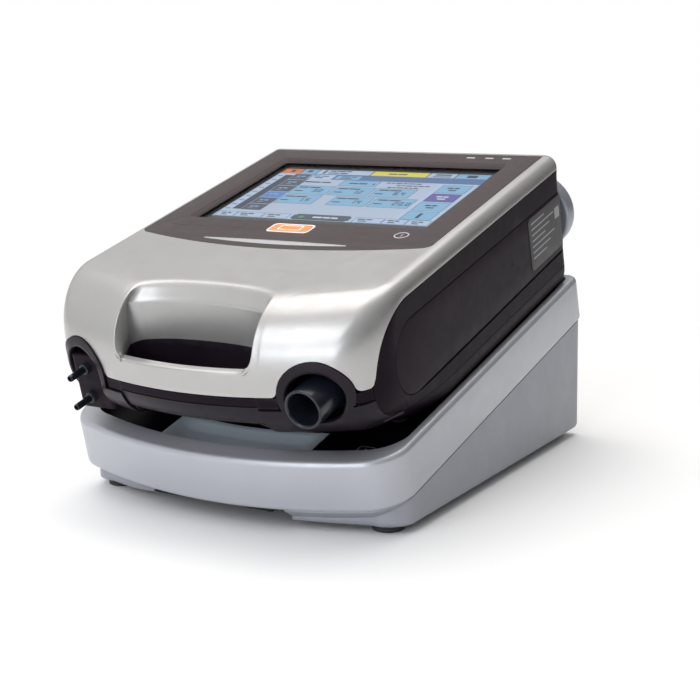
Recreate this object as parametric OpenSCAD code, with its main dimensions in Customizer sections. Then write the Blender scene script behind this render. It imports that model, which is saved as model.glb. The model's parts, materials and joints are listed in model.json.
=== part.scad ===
// Portable life-support ventilator seated on its sloping battery base.
//
// Ventilator and base parts are drawn in the ventilator's own frame: X to its right, Y to its
// rear, Z up, with the underside at Z = 0 and the nose near Y = 0. seated() tilts that frame nose
// down and sets it above the floor. The part's origin is on the floor under the middle of it all.

/* [Ventilator body] */
// Width over the side walls
body_w = 215; // [213:0.5:217]
// Height from the underside to the top face
body_h = 93; // [92.5:0.1:93.5]
// Rear face
rear_y = 283; // [282.5:0.1:283.5]
// Radius of the bowed front, seen from above
bow_r = 243; // [242.5:0.1:243.5]
// Front-most point of the bow
nose_y = 3.7; // [3.6:0.05:3.8]
// Radius that rolls the nose over into the top face
nose_r = 36; // [35:0.5:37]
// Wall of the silver top shell
top_wall = 2.5; // [2.3:0.1:2.6]
// Wall of the dark cases
case_wall = 4; // [3.6:0.1:4.2]

/* [Tilt] */
// Angle of the ventilator above the floor, in degrees
tilt = 13.86; // [13.5:0.02:14.2]
// Height of the ventilator frame's origin above the floor
seat_z = 32.3; // [32:0.1:33]

/* [Patient port] */
// Outside diameter of the 22 mm male conical port
port_d = 22; // [21.8:0.05:22.3]
// Sideways distance of the port from the centre line
port_x = 76.5; // [76:0.1:77]
// Height of the port above the underside
port_z = 46; // [45.5:0.1:46.5]
// Radius of the recess round the port
recess_r = 16; // [15.5:0.1:16.4]

/* [Display] */
// Visible screen width
lcd_w = 152.4; // [151:0.1:153]
// Visible screen height
lcd_h = 91.4; // [90:0.1:92]
// Middle of the screen opening, front to back
lcd_y = 199.5; // [199:0.1:200]

/* [Base] */
// Width of the base
base_w = 221; // [220:0.5:222]
// Thickness of the tray under the seat level
tray_drop = 22.5; // [22:0.1:23]
// Height of the tray rim above the seat level
rim_h = 7.5; // [7:0.1:7.6]
// Rear face of the base
base_rear = 290; // [289.5:0.5:291]
// Height of the rubber feet
foot_h = 4.5; // [4:0.1:5]

/* [Hidden] */
$fn = 96;

silver = [0.75, 0.73, 0.70];
cool_silver = [0.70, 0.71, 0.75];
bezel_grey = [0.28, 0.25, 0.25];
case_black = [0.10, 0.09, 0.11];
panel_black = [0.14, 0.13, 0.16];
board_green = [0.10, 0.32, 0.20];
steel = [0.62, 0.63, 0.66];

gap = 0.3;                                  // seam between neighbouring covers
bow_y = nose_y + bow_r;                     // centre of the bowed front
half_w = body_w / 2;
split_z = 20;                               // seam between middle and lower case
line_z = 84;                                // silver line along the sides
front_line_z = 46;                          // silver line across the nose
chin_r = 30;                                // radius that tucks the chin under the nose
chin_z = 47;                                // height of that radius's centre
shoulder_r = 9;                             // rounding of the long top edges
edge_r = 20;                                // rounding of the long bottom edges
origin_back = 139;                          // level distance from the frame's nose to the origin
lip_r = 237.8;                              // back of the handle's lip, from the bow centre
grip_r = 227;                               // back of the handle bar, from the bow centre
pocket_r = 200;                             // rear wall of the slot, from the bow centre
pocket_back = 39;                           // rear wall of the pocket above it, on the middle line
wall_bow = 223;                             // radius of that wall, hollow towards the front
band_z = 85;                                // foot of the sloping band above that wall
pocket_x = 43;                              // half-width of the handle opening
pocket_z = 61.5;                            // top of the handle bar
glass_top = 90;
bezel_x = 99;
bezel_back = 273.8;
bezel_bow = 334;                            // radius of the bezel's front edge
bezel_front = 100;
deck_top = -1.5;
blower_x = 52;
blower_y = 165;
neck_x = 81;
neck_z = 48;
fan_x = -72;
fan_z = 42;
oxygen_z = 28;
hinge_y = 281.8;                            // axis of the port flap
hinge_z = 44;
clear = 0.06;                               // radial running clearance of turning and pressed parts
post_places = [[-14, 78], [30, 80], [-14, 264], [46, 264]];
pad_rows = [157, 163, 169, 175];            // rows of contact pads under the ventilator
hook_rows = [90, 245];                      // rows of the lock's hooks

// ---------------------------------------------------------------- helpers

function arc(cx, cy, r, a0, a1, n) =
    [for (i = [0:n]) let (a = a0 + (a1 - a0) * i / n) [cx + r * cos(a), cy + r * sin(a)]];

function mirrored(points) =
    concat(points, [for (i = [len(points) - 1:-1:0]) [-points[i][0], points[i][1]]]);

module seated() translate([0, -origin_back, seat_z]) rotate([tilt, 0, 0]) children();

// Extrudes an outline of (Y, Z) points along X.
module along_x(x0, x1) translate([x0, 0, 0]) rotate([90, 0, 90]) linear_extrude(x1 - x0) children();

// Extrudes an outline of (X, Z) points along Y.
module along_y(y0, y1) translate([0, y1, 0]) rotate([90, 0, 0]) linear_extrude(y1 - y0) children();

module box(x0, x1, y0, y1, z0, z1) translate([x0, y0, z0]) cube([x1 - x0, y1 - y0, z1 - z0]);

// Cylinder along Y from y0 to y1.
module rod_y(x, z, r, y0, y1) translate([x, y1, z]) rotate([90, 0, 0]) cylinder(r = r, h = y1 - y0);

module rod_z(x, y, r, z0, z1) translate([x, y, z0]) cylinder(r = r, h = z1 - z0);

module rod_x(y, z, r, x0, x1) translate([x0, y, z]) rotate([0, 90, 0]) cylinder(r = r, h = x1 - x0);

// Solid of revolution about the bow's own upright axis; points are (radius, Z).
module bowed(points) translate([0, bow_y, 0]) rotate_extrude($fn = 180) polygon(points);

// Slab with rounded upright corners, centred on (x, y).
module slab(x, y, w, d, r, z0, z1) {
    translate([x - w / 2 + r, y - d / 2, z0]) cube([w - 2 * r, d, z1 - z0]);
    translate([x - w / 2, y - d / 2 + r, z0]) cube([w, d - 2 * r, z1 - z0]);
    for (sx = [-1, 1], sy = [-1, 1])
        translate([x + sx * (w / 2 - r), y + sy * (d / 2 - r), z0]) cylinder(r = r, h = z1 - z0);
}

// ---------------------------------------------------------------- outer form of the ventilator

// Everything inside the ventilator's skin, drawn in by d on every side.
module envelope(d) intersection() {
    bowed(concat(
        [[0, d], [bow_r - 66, d]],
        arc(bow_r - chin_r, chin_z, chin_r - d, -70, 0, 6),
        arc(bow_r - nose_r, body_h - nose_r, nose_r - d, 0, 90, 10),
        [[0, body_h - d]]));
    along_y(-5, 300) polygon(mirrored(concat(
        arc(half_w - edge_r, edge_r, edge_r - d, -90, 0, 6),
        arc(half_w - shoulder_r, body_h - shoulder_r, shoulder_r - d, 0, 90, 5))));
    translate([0, 0, -1]) linear_extrude(body_h + 2) polygon(mirrored(concat(
        [[20, -20 + d], [85.5 - d, 15 + d], [98 - d, 25.5 + d / 2], [104.5 - d, 34 + d / 3],
         [half_w - d, 47]],
        arc(half_w - 12, rear_y - 12, 12 - d, 0, 90, 4))));
}

// Space above the edge of the silver shell, raised by lift.
module above_silver_line(lift) along_x(-150, 150) translate([0, lift]) polygon(concat(
    [[-20, front_line_z], [34.5, front_line_z], [36, 54]],
    arc(70, 51, 33, 168, 90, 5),
    [[310, line_z], [310, 140], [-20, 140]]));

module pocket_sides(g, z0) along_y(-20, 80) polygon(mirrored([
    [pocket_x + g, z0], [pocket_x + 2.5 + g, 76], [pocket_x + 2.5 + g, 102]]));

// Handle pocket above the bar, grown by g, from height z0 up. A step joins its rear wall to the
// slot's, which lies further back.
module pocket(g, z0) {
    intersection() {
        translate([0, pocket_back - wall_bow, 0]) union() {
            translate([0, 0, z0]) cylinder(r = wall_bow + g, h = band_z - z0, $fn = 240);
            translate([0, 0, band_z])
                cylinder(r1 = wall_bow + g, r2 = wall_bow + 17.7 + g, h = 17, $fn = 240);
        }
        pocket_sides(g, z0);
    }
    intersection() {
        bowed([[pocket_r - g, z0], [262, z0], [262, z0 + 2 + g], [pocket_r - g, z0 + 2 + g]]);
        pocket_sides(g, z0);
    }
}

// Slot behind and below the handle bar, grown by g, up to height z1.
module slot(g, z1) intersection() {
    bowed([[pocket_r - g, -5], [pocket_r - g, z1], [lip_r + g, z1], [lip_r + g, 60 - g / 2],
           [grip_r + g, 48], [grip_r + g, 28 + g], [262, 28 + g], [262, -5]]);
    box(-pocket_x - g, pocket_x + g, -20, 80, -6, z1 + 1);
}

// Room taken by a port panel on the side sx (+1 right, -1 left), grown by g.
module port_zone(sx, g) {
    rod_y(sx * port_x, port_z, recess_r + 3.3 + g, -10, 42 + g);
    box(min(sx * 45.4, sx * 101.5) - g, max(sx * 45.4, sx * 101.5) + g, -10, 46 + g,
        split_z - g, front_line_z - 6 + g);
}

module bezel_outline(g, z0, z1) intersection() {
    box(-bezel_x - g, bezel_x + g, 90, bezel_back + g, z0, z1);
    translate([0, bezel_front + bezel_bow, z0]) cylinder(r = bezel_bow + g, h = z1 - z0, $fn = 240);
}

// ---------------------------------------------------------------- ventilator covers

module top_shell() color(silver) seated() difference() {
    envelope(0);
    difference() {
        envelope(top_wall);
        pocket(top_wall, pocket_z);
    }
    difference() {
        box(-150, 150, -20, 300, -20, 95);
        above_silver_line(0);
        box(-60, 60, -20, 60, front_line_z, 100);
    }
    pocket(0, pocket_z);
    for (sx = [-1, 1]) rod_y(sx * port_x, port_z, recess_r + 3.6, -10, 46);
    bezel_outline(gap, 80, 100);
}

module screen_hole() intersection() {
    along_y(100, 300) polygon(mirrored([[lcd_w / 2 + 4, 88], [lcd_w / 2 + 4, 89.9], [lcd_w / 2 + 7, 94]]));
    along_x(-120, 120) polygon([[lcd_y - 55, 88], [lcd_y - 55, 89.9], [lcd_y - 58, 94],
                                [lcd_y + 58, 94], [lcd_y + 55, 89.9], [lcd_y + 55, 88]]);
}

module light_bar_form(g, z0, z1) intersection() {
    translate([0, bezel_front + 6.5 + bezel_bow, z0]) cylinder(r = bezel_bow + g, h = z1 - z0, $fn = 240);
    box(-49 - g, 49 + g, 100, 114 + g, z0, z1);
}

module lamp_bars(g, z0, z1) for (x = [51, 63, 74])
    box(x - 3 - g, x + 3 + g, 266.6 - g, 268.4 + g, z0, z1);

module display_bezel() color(bezel_grey) seated() difference() {
    bezel_outline(0, 90.6, body_h);
    screen_hole();
    slab(-1, 132, 29.6, 13.6, 3.3, 88, 95);
    light_bar_form(0.1, 88, 95);
    rod_z(73.7, 131, 4.6, 88, 95);
    lamp_bars(0.1, 88, 95);
    box(-85.7, -33.9, 127.5, 137.6, 92.2, 95);
}

module bezel_gasket() color("black") seated() difference() {
    slab(0, lcd_y, lcd_w + 15, lcd_h + 27, 4, glass_top + 0.05, 90.5);
    box(-lcd_w / 2 - 4.6, lcd_w / 2 + 4.6, lcd_y - 56, lcd_y + 56, 80, 100);
}

module touch_glass() color([0.05, 0.06, 0.08]) seated()
    slab(0, lcd_y, lcd_w + 13, lcd_h + 25, 3, 88.7, glass_top);

module lcd_panel() color([0.55, 0.70, 0.85]) seated()
    slab(0, lcd_y + 3, lcd_w + 8, lcd_h + 10, 1.5, 82.6, 88.6);

module lcd_frame() color(steel) seated() difference() {
    box(-90, 90, lcd_y - 60, lcd_y + 60, 80.5, 88.4);
    box(-88.8, 88.8, lcd_y - 58.8, lcd_y + 58.8, 82.5, 90);
    for (x = [-50, 0, 50]) box(x - 15, x + 15, lcd_y - 30, lcd_y + 30, 79, 84);
}

module alarm_key() color([1, 0.5, 0.15]) seated() {
    slab(-1, 132, 26.6, 10.6, 2.2, 88.4, body_h + 0.3);
    slab(-1, 132, 30, 14, 3, 87.2, 88.4);
}

module alarm_key_surround() color("white") seated() difference() {
    slab(-1, 132, 29.2, 13.2, 3.1, 90.6, body_h + 0.1);
    slab(-1, 132, 26.8, 10.8, 2.3, 89, 95);
}

module alarm_light_bar() color([0.85, 0.86, 0.88]) seated() light_bar_form(0, 89, body_h + 0.05);

// Light pipes of the standby ring and the three power lamps.
module status_lights() color([0.9, 0.9, 0.92]) seated() {
    difference() {
        rod_z(73.7, 131, 4.5, 89, body_h + 0.05);
        rod_z(73.7, 131, 3.2, 91.5, 95);
    }
    lamp_bars(0, 89, body_h + 0.05);
}

module name_plate() color([0.45, 0.43, 0.43]) seated()
    box(-85.5, -34.1, 127.7, 137.4, 92.25, 92.9);

// Outline of a side panel in (Y, Z), drawn in by d.
module side_outline(d) polygon(concat(
    arc(71.5, 49.6, 22 - d, 90, 270, 12),
    [[276 - d, 30 + d], [277 - d, 70 - d], [276 - d, 71.6 - d]]));

module rear_opening(g) box(-97 - g, 97 + g, 270, 300, 12 - g, 80 + g);

module middle_case() color(case_black) seated() difference() {
    envelope(0);
    envelope(case_wall);
    above_silver_line(-gap);
    box(-150, 150, -20, 300, -20, split_z + 0.2);
    box(-72, 72, -20, 80, 0, 60);
    for (sx = [-1, 1]) {
        port_zone(sx, 0.2);
        along_x(min(sx * 105.2, sx * 112), max(sx * 105.2, sx * 112)) side_outline(0);
    }
    rear_opening(0.3);
}

module lower_case() color(case_black) seated() difference() {
    envelope(0);
    envelope(3.5);
    box(-150, 150, -20, 300, split_z, 120);
    for (sx = [-1, 1]) port_zone(sx, 0.2);
    slot(2.3, 70);
    rear_opening(0.3);
    battery_bay(0.3);
    rod_z(-60, 84, 5 + clear, -2, 8);
    for (y = hook_rows) box(-9, 2.5, y - 3.5, y + 3.5, -2, 8);
    for (y = pad_rows) box(25.7, 34.3, y - 2.3, y + 2.3, -2, 8);
    for (p = post_places) rod_z(p[0], p[1], 1.7, -2, 8);
    for (p = post_places) rod_z(p[0], p[1], 3.4, -2, 1.4);
}

module battery_bay(g) box(-96 - g, -17 + g, 100 - g, 225 + g, -2, 8);

module right_side_panel() color(panel_black) seated() along_x(105.3, 107) side_outline(gap);

module left_side_panel() color(panel_black) seated() along_x(-107, -105.3) side_outline(gap);

module rating_plate() color([0.30, 0.29, 0.31]) seated()
    translate([107, 0, 0]) rotate([0, 90, 0]) slab(-51.2, 250.5, 33.5, 49, 3, 0.02, 0.4);

module port_surround() color(case_black) seated() difference() {
    intersection() {
        envelope(0.05);
        port_zone(1, 0);
    }
    difference() {
        envelope(3);
        rod_y(port_x, port_z, recess_r + 3.3, -10, 42);
    }
    rod_y(port_x, port_z, recess_r, -10, 39);
    rod_y(port_x, port_z, 9.5 + clear, 30, 50);
}

module adapter_surround() color(case_black) seated() difference() {
    intersection() {
        envelope(0.05);
        port_zone(-1, 0);
    }
    difference() {
        envelope(3);
        rod_y(-port_x, port_z, recess_r + 3.3, -10, 42);
    }
    rod_y(-port_x, port_z, recess_r, -10, 50);
    box(-port_x - 13, -port_x + 13, -10, 50, 10, port_z);
}

// 22 mm male cone with its flange and the spigot that enters the outlet duct.
module inspiratory_port() color([0.10, 0.12, 0.17]) seated() difference() {
    union() {
        rod_y(port_x, port_z, port_d / 2, 4, 36);
        rod_y(port_x, port_z, 14.5, 35.5, 38.9);
        rod_y(port_x, port_z, 9.5, 38, 72);
    }
    rod_y(port_x, port_z, 9.5, 0, 30);
    rod_y(port_x, port_z, 7.8, 20, 80);
}

// Block behind the left recess, with the two pressure spigots that the circuit's lines push onto.
module adapter_module() color([0.16, 0.16, 0.19]) seated() difference() {
    union() {
        intersection() {
            envelope(6);
            box(-port_x - 12.5, -port_x + 12.5, 20, 46, 21, 54);
        }
        box(-96, -57, 44, 74, 26, 60);
        for (z = [46.5, 28.5]) {
            rod_y(-78, z, 2, 4, 30);
            rod_y(-78, z, 3.4, 16, 30);
        }
    }
    for (z = [46.5, 28.5]) rod_y(-78, z, 1.1, 0, 60);
    rod_z(-76, 59, 10.5, 56.4, 61);
}

module valve_diaphragm() color([0.80, 0.82, 0.85]) seated() {
    rod_z(-76, 59, 9.6, 57, 58.4);
    rod_z(-76, 59, 4, 58.4, 60.6);
}

// Dark half of the carrying handle: the bar's underside and the sleeve round the finger slot.
module handle_grip() color([0.08, 0.07, 0.09]) seated() difference() {
    intersection() {
        envelope(0.1);
        union() {
            slot(2, 61.3);
            intersection() {
                bowed([[228, 29], [228, front_line_z - gap], [262, front_line_z - gap], [262, 29]]);
                box(-56.9, 56.9, -20, 60, 20, 60);
            }
        }
    }
    slot(0, 70);
    for (sx = [-1, 1]) port_zone(sx, 0.2);
}

module rear_panel() color(case_black) seated() difference() {
    box(-97, 97, 279.5, rear_y - 0.4, 12, 80);
    rod_y(neck_x, neck_z, 14.4, 270, 300);
    rod_y(28, 54, 8 + clear, 270, 300);
    rod_y(32, oxygen_z, 6.2, 270, 300);
    rod_y(-28, 28, 7.2, 270, 300);
    box(-44.3, 4.3, 270, 300, hinge_z - 1.1, 62.3);
    for (i = [-4:4]) box(fan_x + i * 4 - 1.1, fan_x + i * 4 + 1.1, 270, 300, fan_z - 16, fan_z + 16);
}

// Round bayonet cover over the air inlet, with grip ribs round its rim.
module filter_cover() color([0.66, 0.68, 0.70]) seated() difference() {
    union() {
        rod_y(neck_x, neck_z, 22.5, 289, 300);
        for (a = [0:15:345]) translate([neck_x + 22.2 * cos(a), 300, neck_z + 22.2 * sin(a)])
            rotate([90, 0, 0]) cylinder(r = 1.4, h = 10, $fn = 16);
    }
    rod_y(neck_x, neck_z, 20.3, 285, 297.5);
    for (i = [-3:3]) box(neck_x + i * 5 - 1, neck_x + i * 5 + 1, 296, 302, neck_z - 11, neck_z + 11);
}

module inlet_filter() color("white") seated() rod_y(neck_x, neck_z, 18.8, 292.2, 297);

module power_button() color([0.20, 0.20, 0.22]) seated() {
    rod_y(28, 54, 8, 274.2, rear_y + 1.2);
    rod_y(28, 54, 10, 272.6, 274.2);
}

module port_flap() color([0.16, 0.15, 0.18]) seated() difference() {
    union() {
        box(-44, 4, hinge_y - 0.8, rear_y - 0.4, hinge_z, 62);
        rod_x(hinge_y, hinge_z, 0.8, -44, 4);
    }
    box(-24, -16, 282.2, 285, 59.5, 61);
}

module data_sockets() color(steel) seated() difference() {
    union() {
        box(-40, -24, 266, 279, 46, 59);
        for (x = [-19, -7]) box(x, x + 8, 268, 279, 48, 58);
    }
    box(-38, -26, 269, 285, 48, 57);
    for (x = [-19, -7]) box(x + 1.2, x + 6.8, 270, 285, 49.5, 56.5);
}

// Push-on oxygen connector.
module oxygen_inlet() color([0.55, 0.57, 0.60]) seated() difference() {
    union() {
        rod_y(32, oxygen_z, 6, 266, 287);
        rod_y(32, oxygen_z, 3.2, 287, 299);
    }
    rod_y(32, oxygen_z, 1.7, 260, 302);
    box(28.9, 35.1, 283.5, 286.1, oxygen_z + 2.7, oxygen_z + 9);
}

module oxygen_release_clip() color([0.25, 0.45, 0.75]) seated()
    box(29, 35, 283.6, 286, oxygen_z + 4.9, oxygen_z + 8.4);

module dc_inlet() color([0.12, 0.12, 0.13]) seated() difference() {
    rod_y(-28, 28, 7, 266, rear_y + 0.8);
    rod_y(-28, 28, 5, 274, 290);
}

module battery_cover() color(case_black) seated() difference() {
    slab(-56.5, 162.5, 79, 125, 3, 0.1, 2.6);
    for (x = [-88, -25]) rod_z(x, 218, 1.5, -1, 5);
    box(-66, -47, 104, 108, -1, 1.2);
}

module adapter_release_button() color([0.30, 0.30, 0.33]) seated() {
    rod_z(-60, 84, 5, 0.3, 4.6);
    rod_z(-60, 84, 6.4, 4.6, 5.8);
}

module device_feet() color([0.08, 0.08, 0.08]) seated()
    for (x = [-80, 80], y = [91, 262]) rod_z(x, y, 6, -1.4, 0);

module case_screws() color(steel) seated() for (p = post_places) difference() {
    union() {
        rod_z(p[0], p[1], 1.5, 0.2, 14);
        rod_z(p[0], p[1], 3, 0.2, 1.3);
    }
    translate([p[0], p[1], 0]) cylinder(r = 1.3, h = 0.9, $fn = 6);
}

module dock_pads() color([0.85, 0.68, 0.35]) seated()
    for (y = pad_rows) box(26, 34, y - 2, y + 2, 0.25, 1.4);

// ---------------------------------------------------------------- ventilator insides

module inner_chassis() color([0.32, 0.33, 0.35]) seated() difference() {
    union() {
        box(-99, 99, 62, 269, 64, 66.2);
        for (p = post_places) rod_z(p[0], p[1], 4, 3.7, 65);
        for (x = [-94, 94], y = [128, 250]) rod_z(x, y, 3, 66, 90.4);
    }
    for (p = post_places) rod_z(p[0], p[1], 1.6, 0, 16);
    slab(-79, 95, 30, 46, 6, 60, 70);
}

module chips(places, z) for (p = places) box(p[0], p[0] + p[2], p[1], p[1] + p[3], z, z + p[4]);

module main_board() color(board_green) seated() {
    box(-88, 88, 128, 256, 70, 71.6);
    chips([[-60, 150, 22, 22, 2], [-20, 160, 14, 14, 1.6], [12, 148, 18, 12, 2.4],
           [-70, 210, 12, 26, 4], [-30, 205, 30, 10, 3], [24, 210, 16, 16, 2]], 71.6);
}

module power_board() color(board_green) seated() {
    box(-92, -20, 96, 216, 36, 37.6);
    chips([[-86, 104, 16, 16, 10], [-60, 104, 12, 12, 14], [-84, 140, 26, 14, 6],
           [-50, 150, 18, 18, 9], [-84, 180, 20, 24, 8], [-50, 190, 14, 20, 12]], 37.6);
}

module internal_battery() color([0.15, 0.20, 0.30]) seated()
    slab(-56, 161, 74, 124, 5, 4, 32);

// Snail-shaped blower casing whose outlet lines up with the patient port.
module blower_volute() color([0.24, 0.25, 0.27]) seated() difference() {
    union() {
        rod_z(blower_x, blower_y, 37, 35, 57);
        rod_y(port_x, port_z, 9.5, 112, blower_y);
    }
    rod_z(blower_x, blower_y, 33.5, 38, 54);
    rod_y(port_x, port_z, 7.5, 100, blower_y);
    rod_z(blower_x, blower_y, 12, 50, 60);
    rod_z(blower_x, blower_y, 3.2, 30, 40);
}

module blower_motor() color(steel) seated() difference() {
    rod_z(blower_x, blower_y, 17, 12, 34.9);
    rod_z(blower_x, blower_y, 2 + clear, 10, 40);
    rod_z(blower_x, blower_y, 4, 10, 14);
}

module blower_rotor() color([0.85, 0.85, 0.82]) seated() {
    rod_z(blower_x, blower_y, 2, 14, 50);
    rod_z(blower_x, blower_y, 7, 40, 49);
    rod_z(blower_x, blower_y, 30, 40, 41.6);
    for (a = [0:36:324]) translate([blower_x, blower_y, 41]) rotate([0, 0, a])
        translate([6, -0.7, 0]) cube([23, 1.4, 9]);
}

module blower_mounts() color([0.12, 0.12, 0.12]) seated()
    for (a = [30, 150, 270]) translate([blower_x + 26 * cos(a), blower_y + 26 * sin(a), 0]) {
        translate([0, 0, 3.6]) cylinder(r = 5, h = 12);
        translate([0, 0, 15.5]) cylinder(r = 3.4, h = 19.4);
    }

module inlet_duct() color([0.20, 0.20, 0.22]) seated() difference() {
    union() {
        rod_y(neck_x, neck_z, 14, 234, 285);
        rod_y(neck_x, neck_z, 20.3 - clear, 284, 291.9);
        box(62, 98, 214, 236, 30, 63.5);
        box(37, 98, 140, 236, 57.6, 63.5);
    }
    rod_y(neck_x, neck_z, 12.4, 230, 295);
    box(64, 96, 216, 234, 32, 60);
    box(39, 96, 142, 234, 59, 62);
    rod_z(blower_x, blower_y, 12, 55, 60);
}

module outlet_duct() color([0.72, 0.74, 0.76]) seated() difference() {
    rod_y(port_x, port_z, 11.6, 58, 124);
    rod_y(port_x, port_z, 9.7, 50, 130);
}

module flow_sensor() color([0.10, 0.22, 0.45]) seated() difference() {
    box(port_x - 15, port_x + 15, 82, 98, port_z - 14, port_z + 14);
    rod_y(port_x, port_z, 11.8, 80, 100);
}

module fan_frame() color([0.12, 0.12, 0.12]) seated() difference() {
    box(fan_x - 20, fan_x + 20, 266, 276, fan_z - 20, fan_z + 20);
    rod_y(fan_x, fan_z, 18.6, 264, 274.5);
    for (i = [-2:2]) box(fan_x - 15, fan_x + 15, 274, 280, fan_z + i * 6 - 2, fan_z + i * 6 + 2);
}

module fan_rotor() color([0.2, 0.2, 0.2]) seated() {
    rod_y(fan_x, fan_z, 8, 267.5, 273.5);
    for (a = [0:60:300]) translate([fan_x, 270.5, fan_z]) rotate([0, a, 0])
        rotate([35, 0, 0]) translate([5, -3, -0.6]) cube([12.4, 6, 1.2]);
}

module alarm_sounders() color([0.15, 0.15, 0.16]) seated() for (x = [-36, 36]) difference() {
    rod_z(x, 92, 13, 66.4, 84);
    rod_z(x, 92, 9, 82, 90);
}

// ---------------------------------------------------------------- sloping base

// Upright prism of the base's outline, drawn in by d.
module base_prism(d, z0, z1) intersection() {
    translate([0, bow_y, z0]) cylinder(r = bow_r + 1.7 - d, h = z1 - z0, $fn = 240);
    translate([0, 0, z0]) linear_extrude(z1 - z0) polygon(mirrored(concat(
        [[20, -30 + d], [89 - d, 14 + d], [101 - d, 24.5 + d / 2], [107.5 - d, 33.5 + d / 3],
         [base_w / 2 - d, 46]],
        arc(base_w / 2 - 10, base_rear - 10, 10 - d, 0, 90, 4))));
}

// The hollow that the ventilator sits in.
module seat_opening(d, z0, z1) intersection() {
    translate([0, bow_y, z0]) cylinder(r = 229.2 - d, h = z1 - z0, $fn = 240);
    translate([0, 0, z0]) linear_extrude(z1 - z0) polygon(mirrored([
        [20, 0], [92 - d, 33 + d], [101 - d, 42 + d], [104 - d, 60], [104 - d, 284 - d]]));
}

// Finger dish in front of the seat, grown by g; its back and ends rise to height top.
module finger_dish(g, top) intersection() {
    bowed([[229.2 + g, 12], [229.2 + g, 2 - g], [222 + g, -10 - g], [210 - g, -10 - g], [196 - g, -1.2],
           [196 - g, top], [229.1, top], [229.1, 12]]);
    box(-58 - g, 58 + g, 0, 80, -20, 12);
}

module base_tray() color(cool_silver) seated() difference() {
    base_prism(0, -tray_drop, rim_h);
    difference() {
        union() {
            base_prism(3, -tray_drop - 1, 2.5);
            seat_opening(0, 2, 20);
        }
        finger_dish(2.2, -1);
    }
    finger_dish(0, 11);
    box(-12, 12, 280, 300, -12, -4);
}

module base_deck() color([0.06, 0.06, 0.07]) seated() difference() {
    base_prism(3.3, -5, deck_top);
    finger_dish(2.5, 11);
    for (y = hook_rows) box(-9.5, 3.5, y - 4, y + 4, -8, 2);
    for (y = pad_rows) rod_z(30, y, 1 + clear, -8, 2);
    slab(80, 47, 11.2, 11.2, 1.6, -8, 2);
}

// Body of the wedge, drawn in by d, from height z0 above the floor up to the tray.
module wedge_solid(d, z0) intersection() {
    seated() base_prism(d, -110, -tray_drop - gap);
    seated() bowed([[0, -110], [bow_r - 9 - d, -110], [bow_r - 9 - d, -31], [bow_r + 5 - d, -21], [0, -21]]);
    box(-150, 150, -200, 147 - d, z0, 160);
}

// Notch in the wedge's front that the cooling slots open into.
module wedge_notch(half) seated() intersection() {
    bowed([[222, -80], [222, -24.5], [260, -24.5], [260, -80]]);
    box(-half, half, -20, 90, -80, -20);
}

module base_wedge() color([0.62, 0.62, 0.66]) difference() {
    wedge_solid(1, foot_h);
    wedge_solid(4, foot_h - 2);
    wedge_notch(46);
}

// Dark floor of the wedge with the ribbed vent in the front notch.
module base_bottom_plate() color([0.07, 0.07, 0.08]) {
    intersection() {
        wedge_solid(4.4, foot_h + 0.3);
        box(-150, 150, -200, 200, 0, foot_h + 2.5);
    }
    intersection() {
        seated() union() {
            bowed([[218.5, -50], [218.5, -24], [221.5, -24], [221.5, -50]]);
            for (x = [-40:8:40]) box(x - 1.2, x + 1.2, 14, 30, -50, -24);
        }
        box(-44, 44, -200, -80, foot_h + 0.3, 60);
        seated() base_prism(10, -60, -24.6);
    }
}

module base_feet() color([0.07, 0.07, 0.07])
    for (x = [-92, 92], y = [-86, 130]) translate([x, y, 0]) cylinder(r = 9, h = foot_h);

module base_cells() color([0.20, 0.45, 0.35]) seated()
    for (x = [-70, 0, 70], y = [150, 172, 194, 216, 238]) rod_x(y, -37, 9.2, x - 32.5, x + 32.5);

module base_board() color(board_green) seated() {
    box(-92, -30, 120, 220, -15, -13.4);
    chips([[-84, 130, 14, 14, 2], [-60, 140, 20, 12, 5], [-80, 180, 24, 18, 3]], -13.4);
}

// Slide under the deck whose two hooks hold the ventilator down.
module lock_slide() color([0.30, 0.31, 0.33]) seated() {
    box(-14, 14, 80, 286, -9.6, -6.6);
    for (y = hook_rows) {
        box(-8, -4, y - 2.5, y + 2.5, -7, 6.4);
        box(-8, 1.5, y - 2.5, y + 2.5, 4, 6.4);
    }
    box(-5, 2, 284, 294, -9.6, -6.6);
    box(-5, 2, 291, 294, -10.5, -5.5);
}

// Sprung pins that carry power up to the pads, on their common carrier.
module contact_pins() color([0.85, 0.68, 0.35]) seated() {
    box(27, 33, 153, 179, -9.5, -7.5);
    for (y = pad_rows) rod_z(30, y, 1, -8, 0.1);
}

module gauge_button() color([0.35, 0.36, 0.38]) seated() {
    slab(80, 47, 11, 11, 1.5, -6, deck_top + 0.6);
    slab(80, 47, 13, 13, 1.5, -7.2, -6);
}

// ---------------------------------------------------------------- assembly

top_shell();
display_bezel();
bezel_gasket();
touch_glass();
lcd_panel();
lcd_frame();
alarm_key();
alarm_key_surround();
alarm_light_bar();
status_lights();
name_plate();
middle_case();
lower_case();
right_side_panel();
left_side_panel();
rating_plate();
port_surround();
inspiratory_port();
adapter_surround();
adapter_module();
valve_diaphragm();
handle_grip();
rear_panel();
filter_cover();
inlet_filter();
power_button();
port_flap();
data_sockets();
oxygen_inlet();
oxygen_release_clip();
dc_inlet();
battery_cover();
adapter_release_button();
device_feet();
case_screws();
dock_pads();
inner_chassis();
main_board();
power_board();
internal_battery();
blower_volute();
blower_motor();
blower_rotor();
blower_mounts();
inlet_duct();
outlet_duct();
flow_sensor();
fan_frame();
fan_rotor();
alarm_sounders();
base_tray();
base_wedge();
base_bottom_plate();
base_deck();
base_feet();
base_cells();
base_board();
lock_slide();
contact_pins();
gauge_button();
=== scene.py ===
"""Looks of a portable life-support ventilator seated on its sloping battery base.

Shapes are drawn in millimetres in the ventilator's own frame (X to its right, Y to its rear, Z up
from its underside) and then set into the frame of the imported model.
"""

import json
import math

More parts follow.
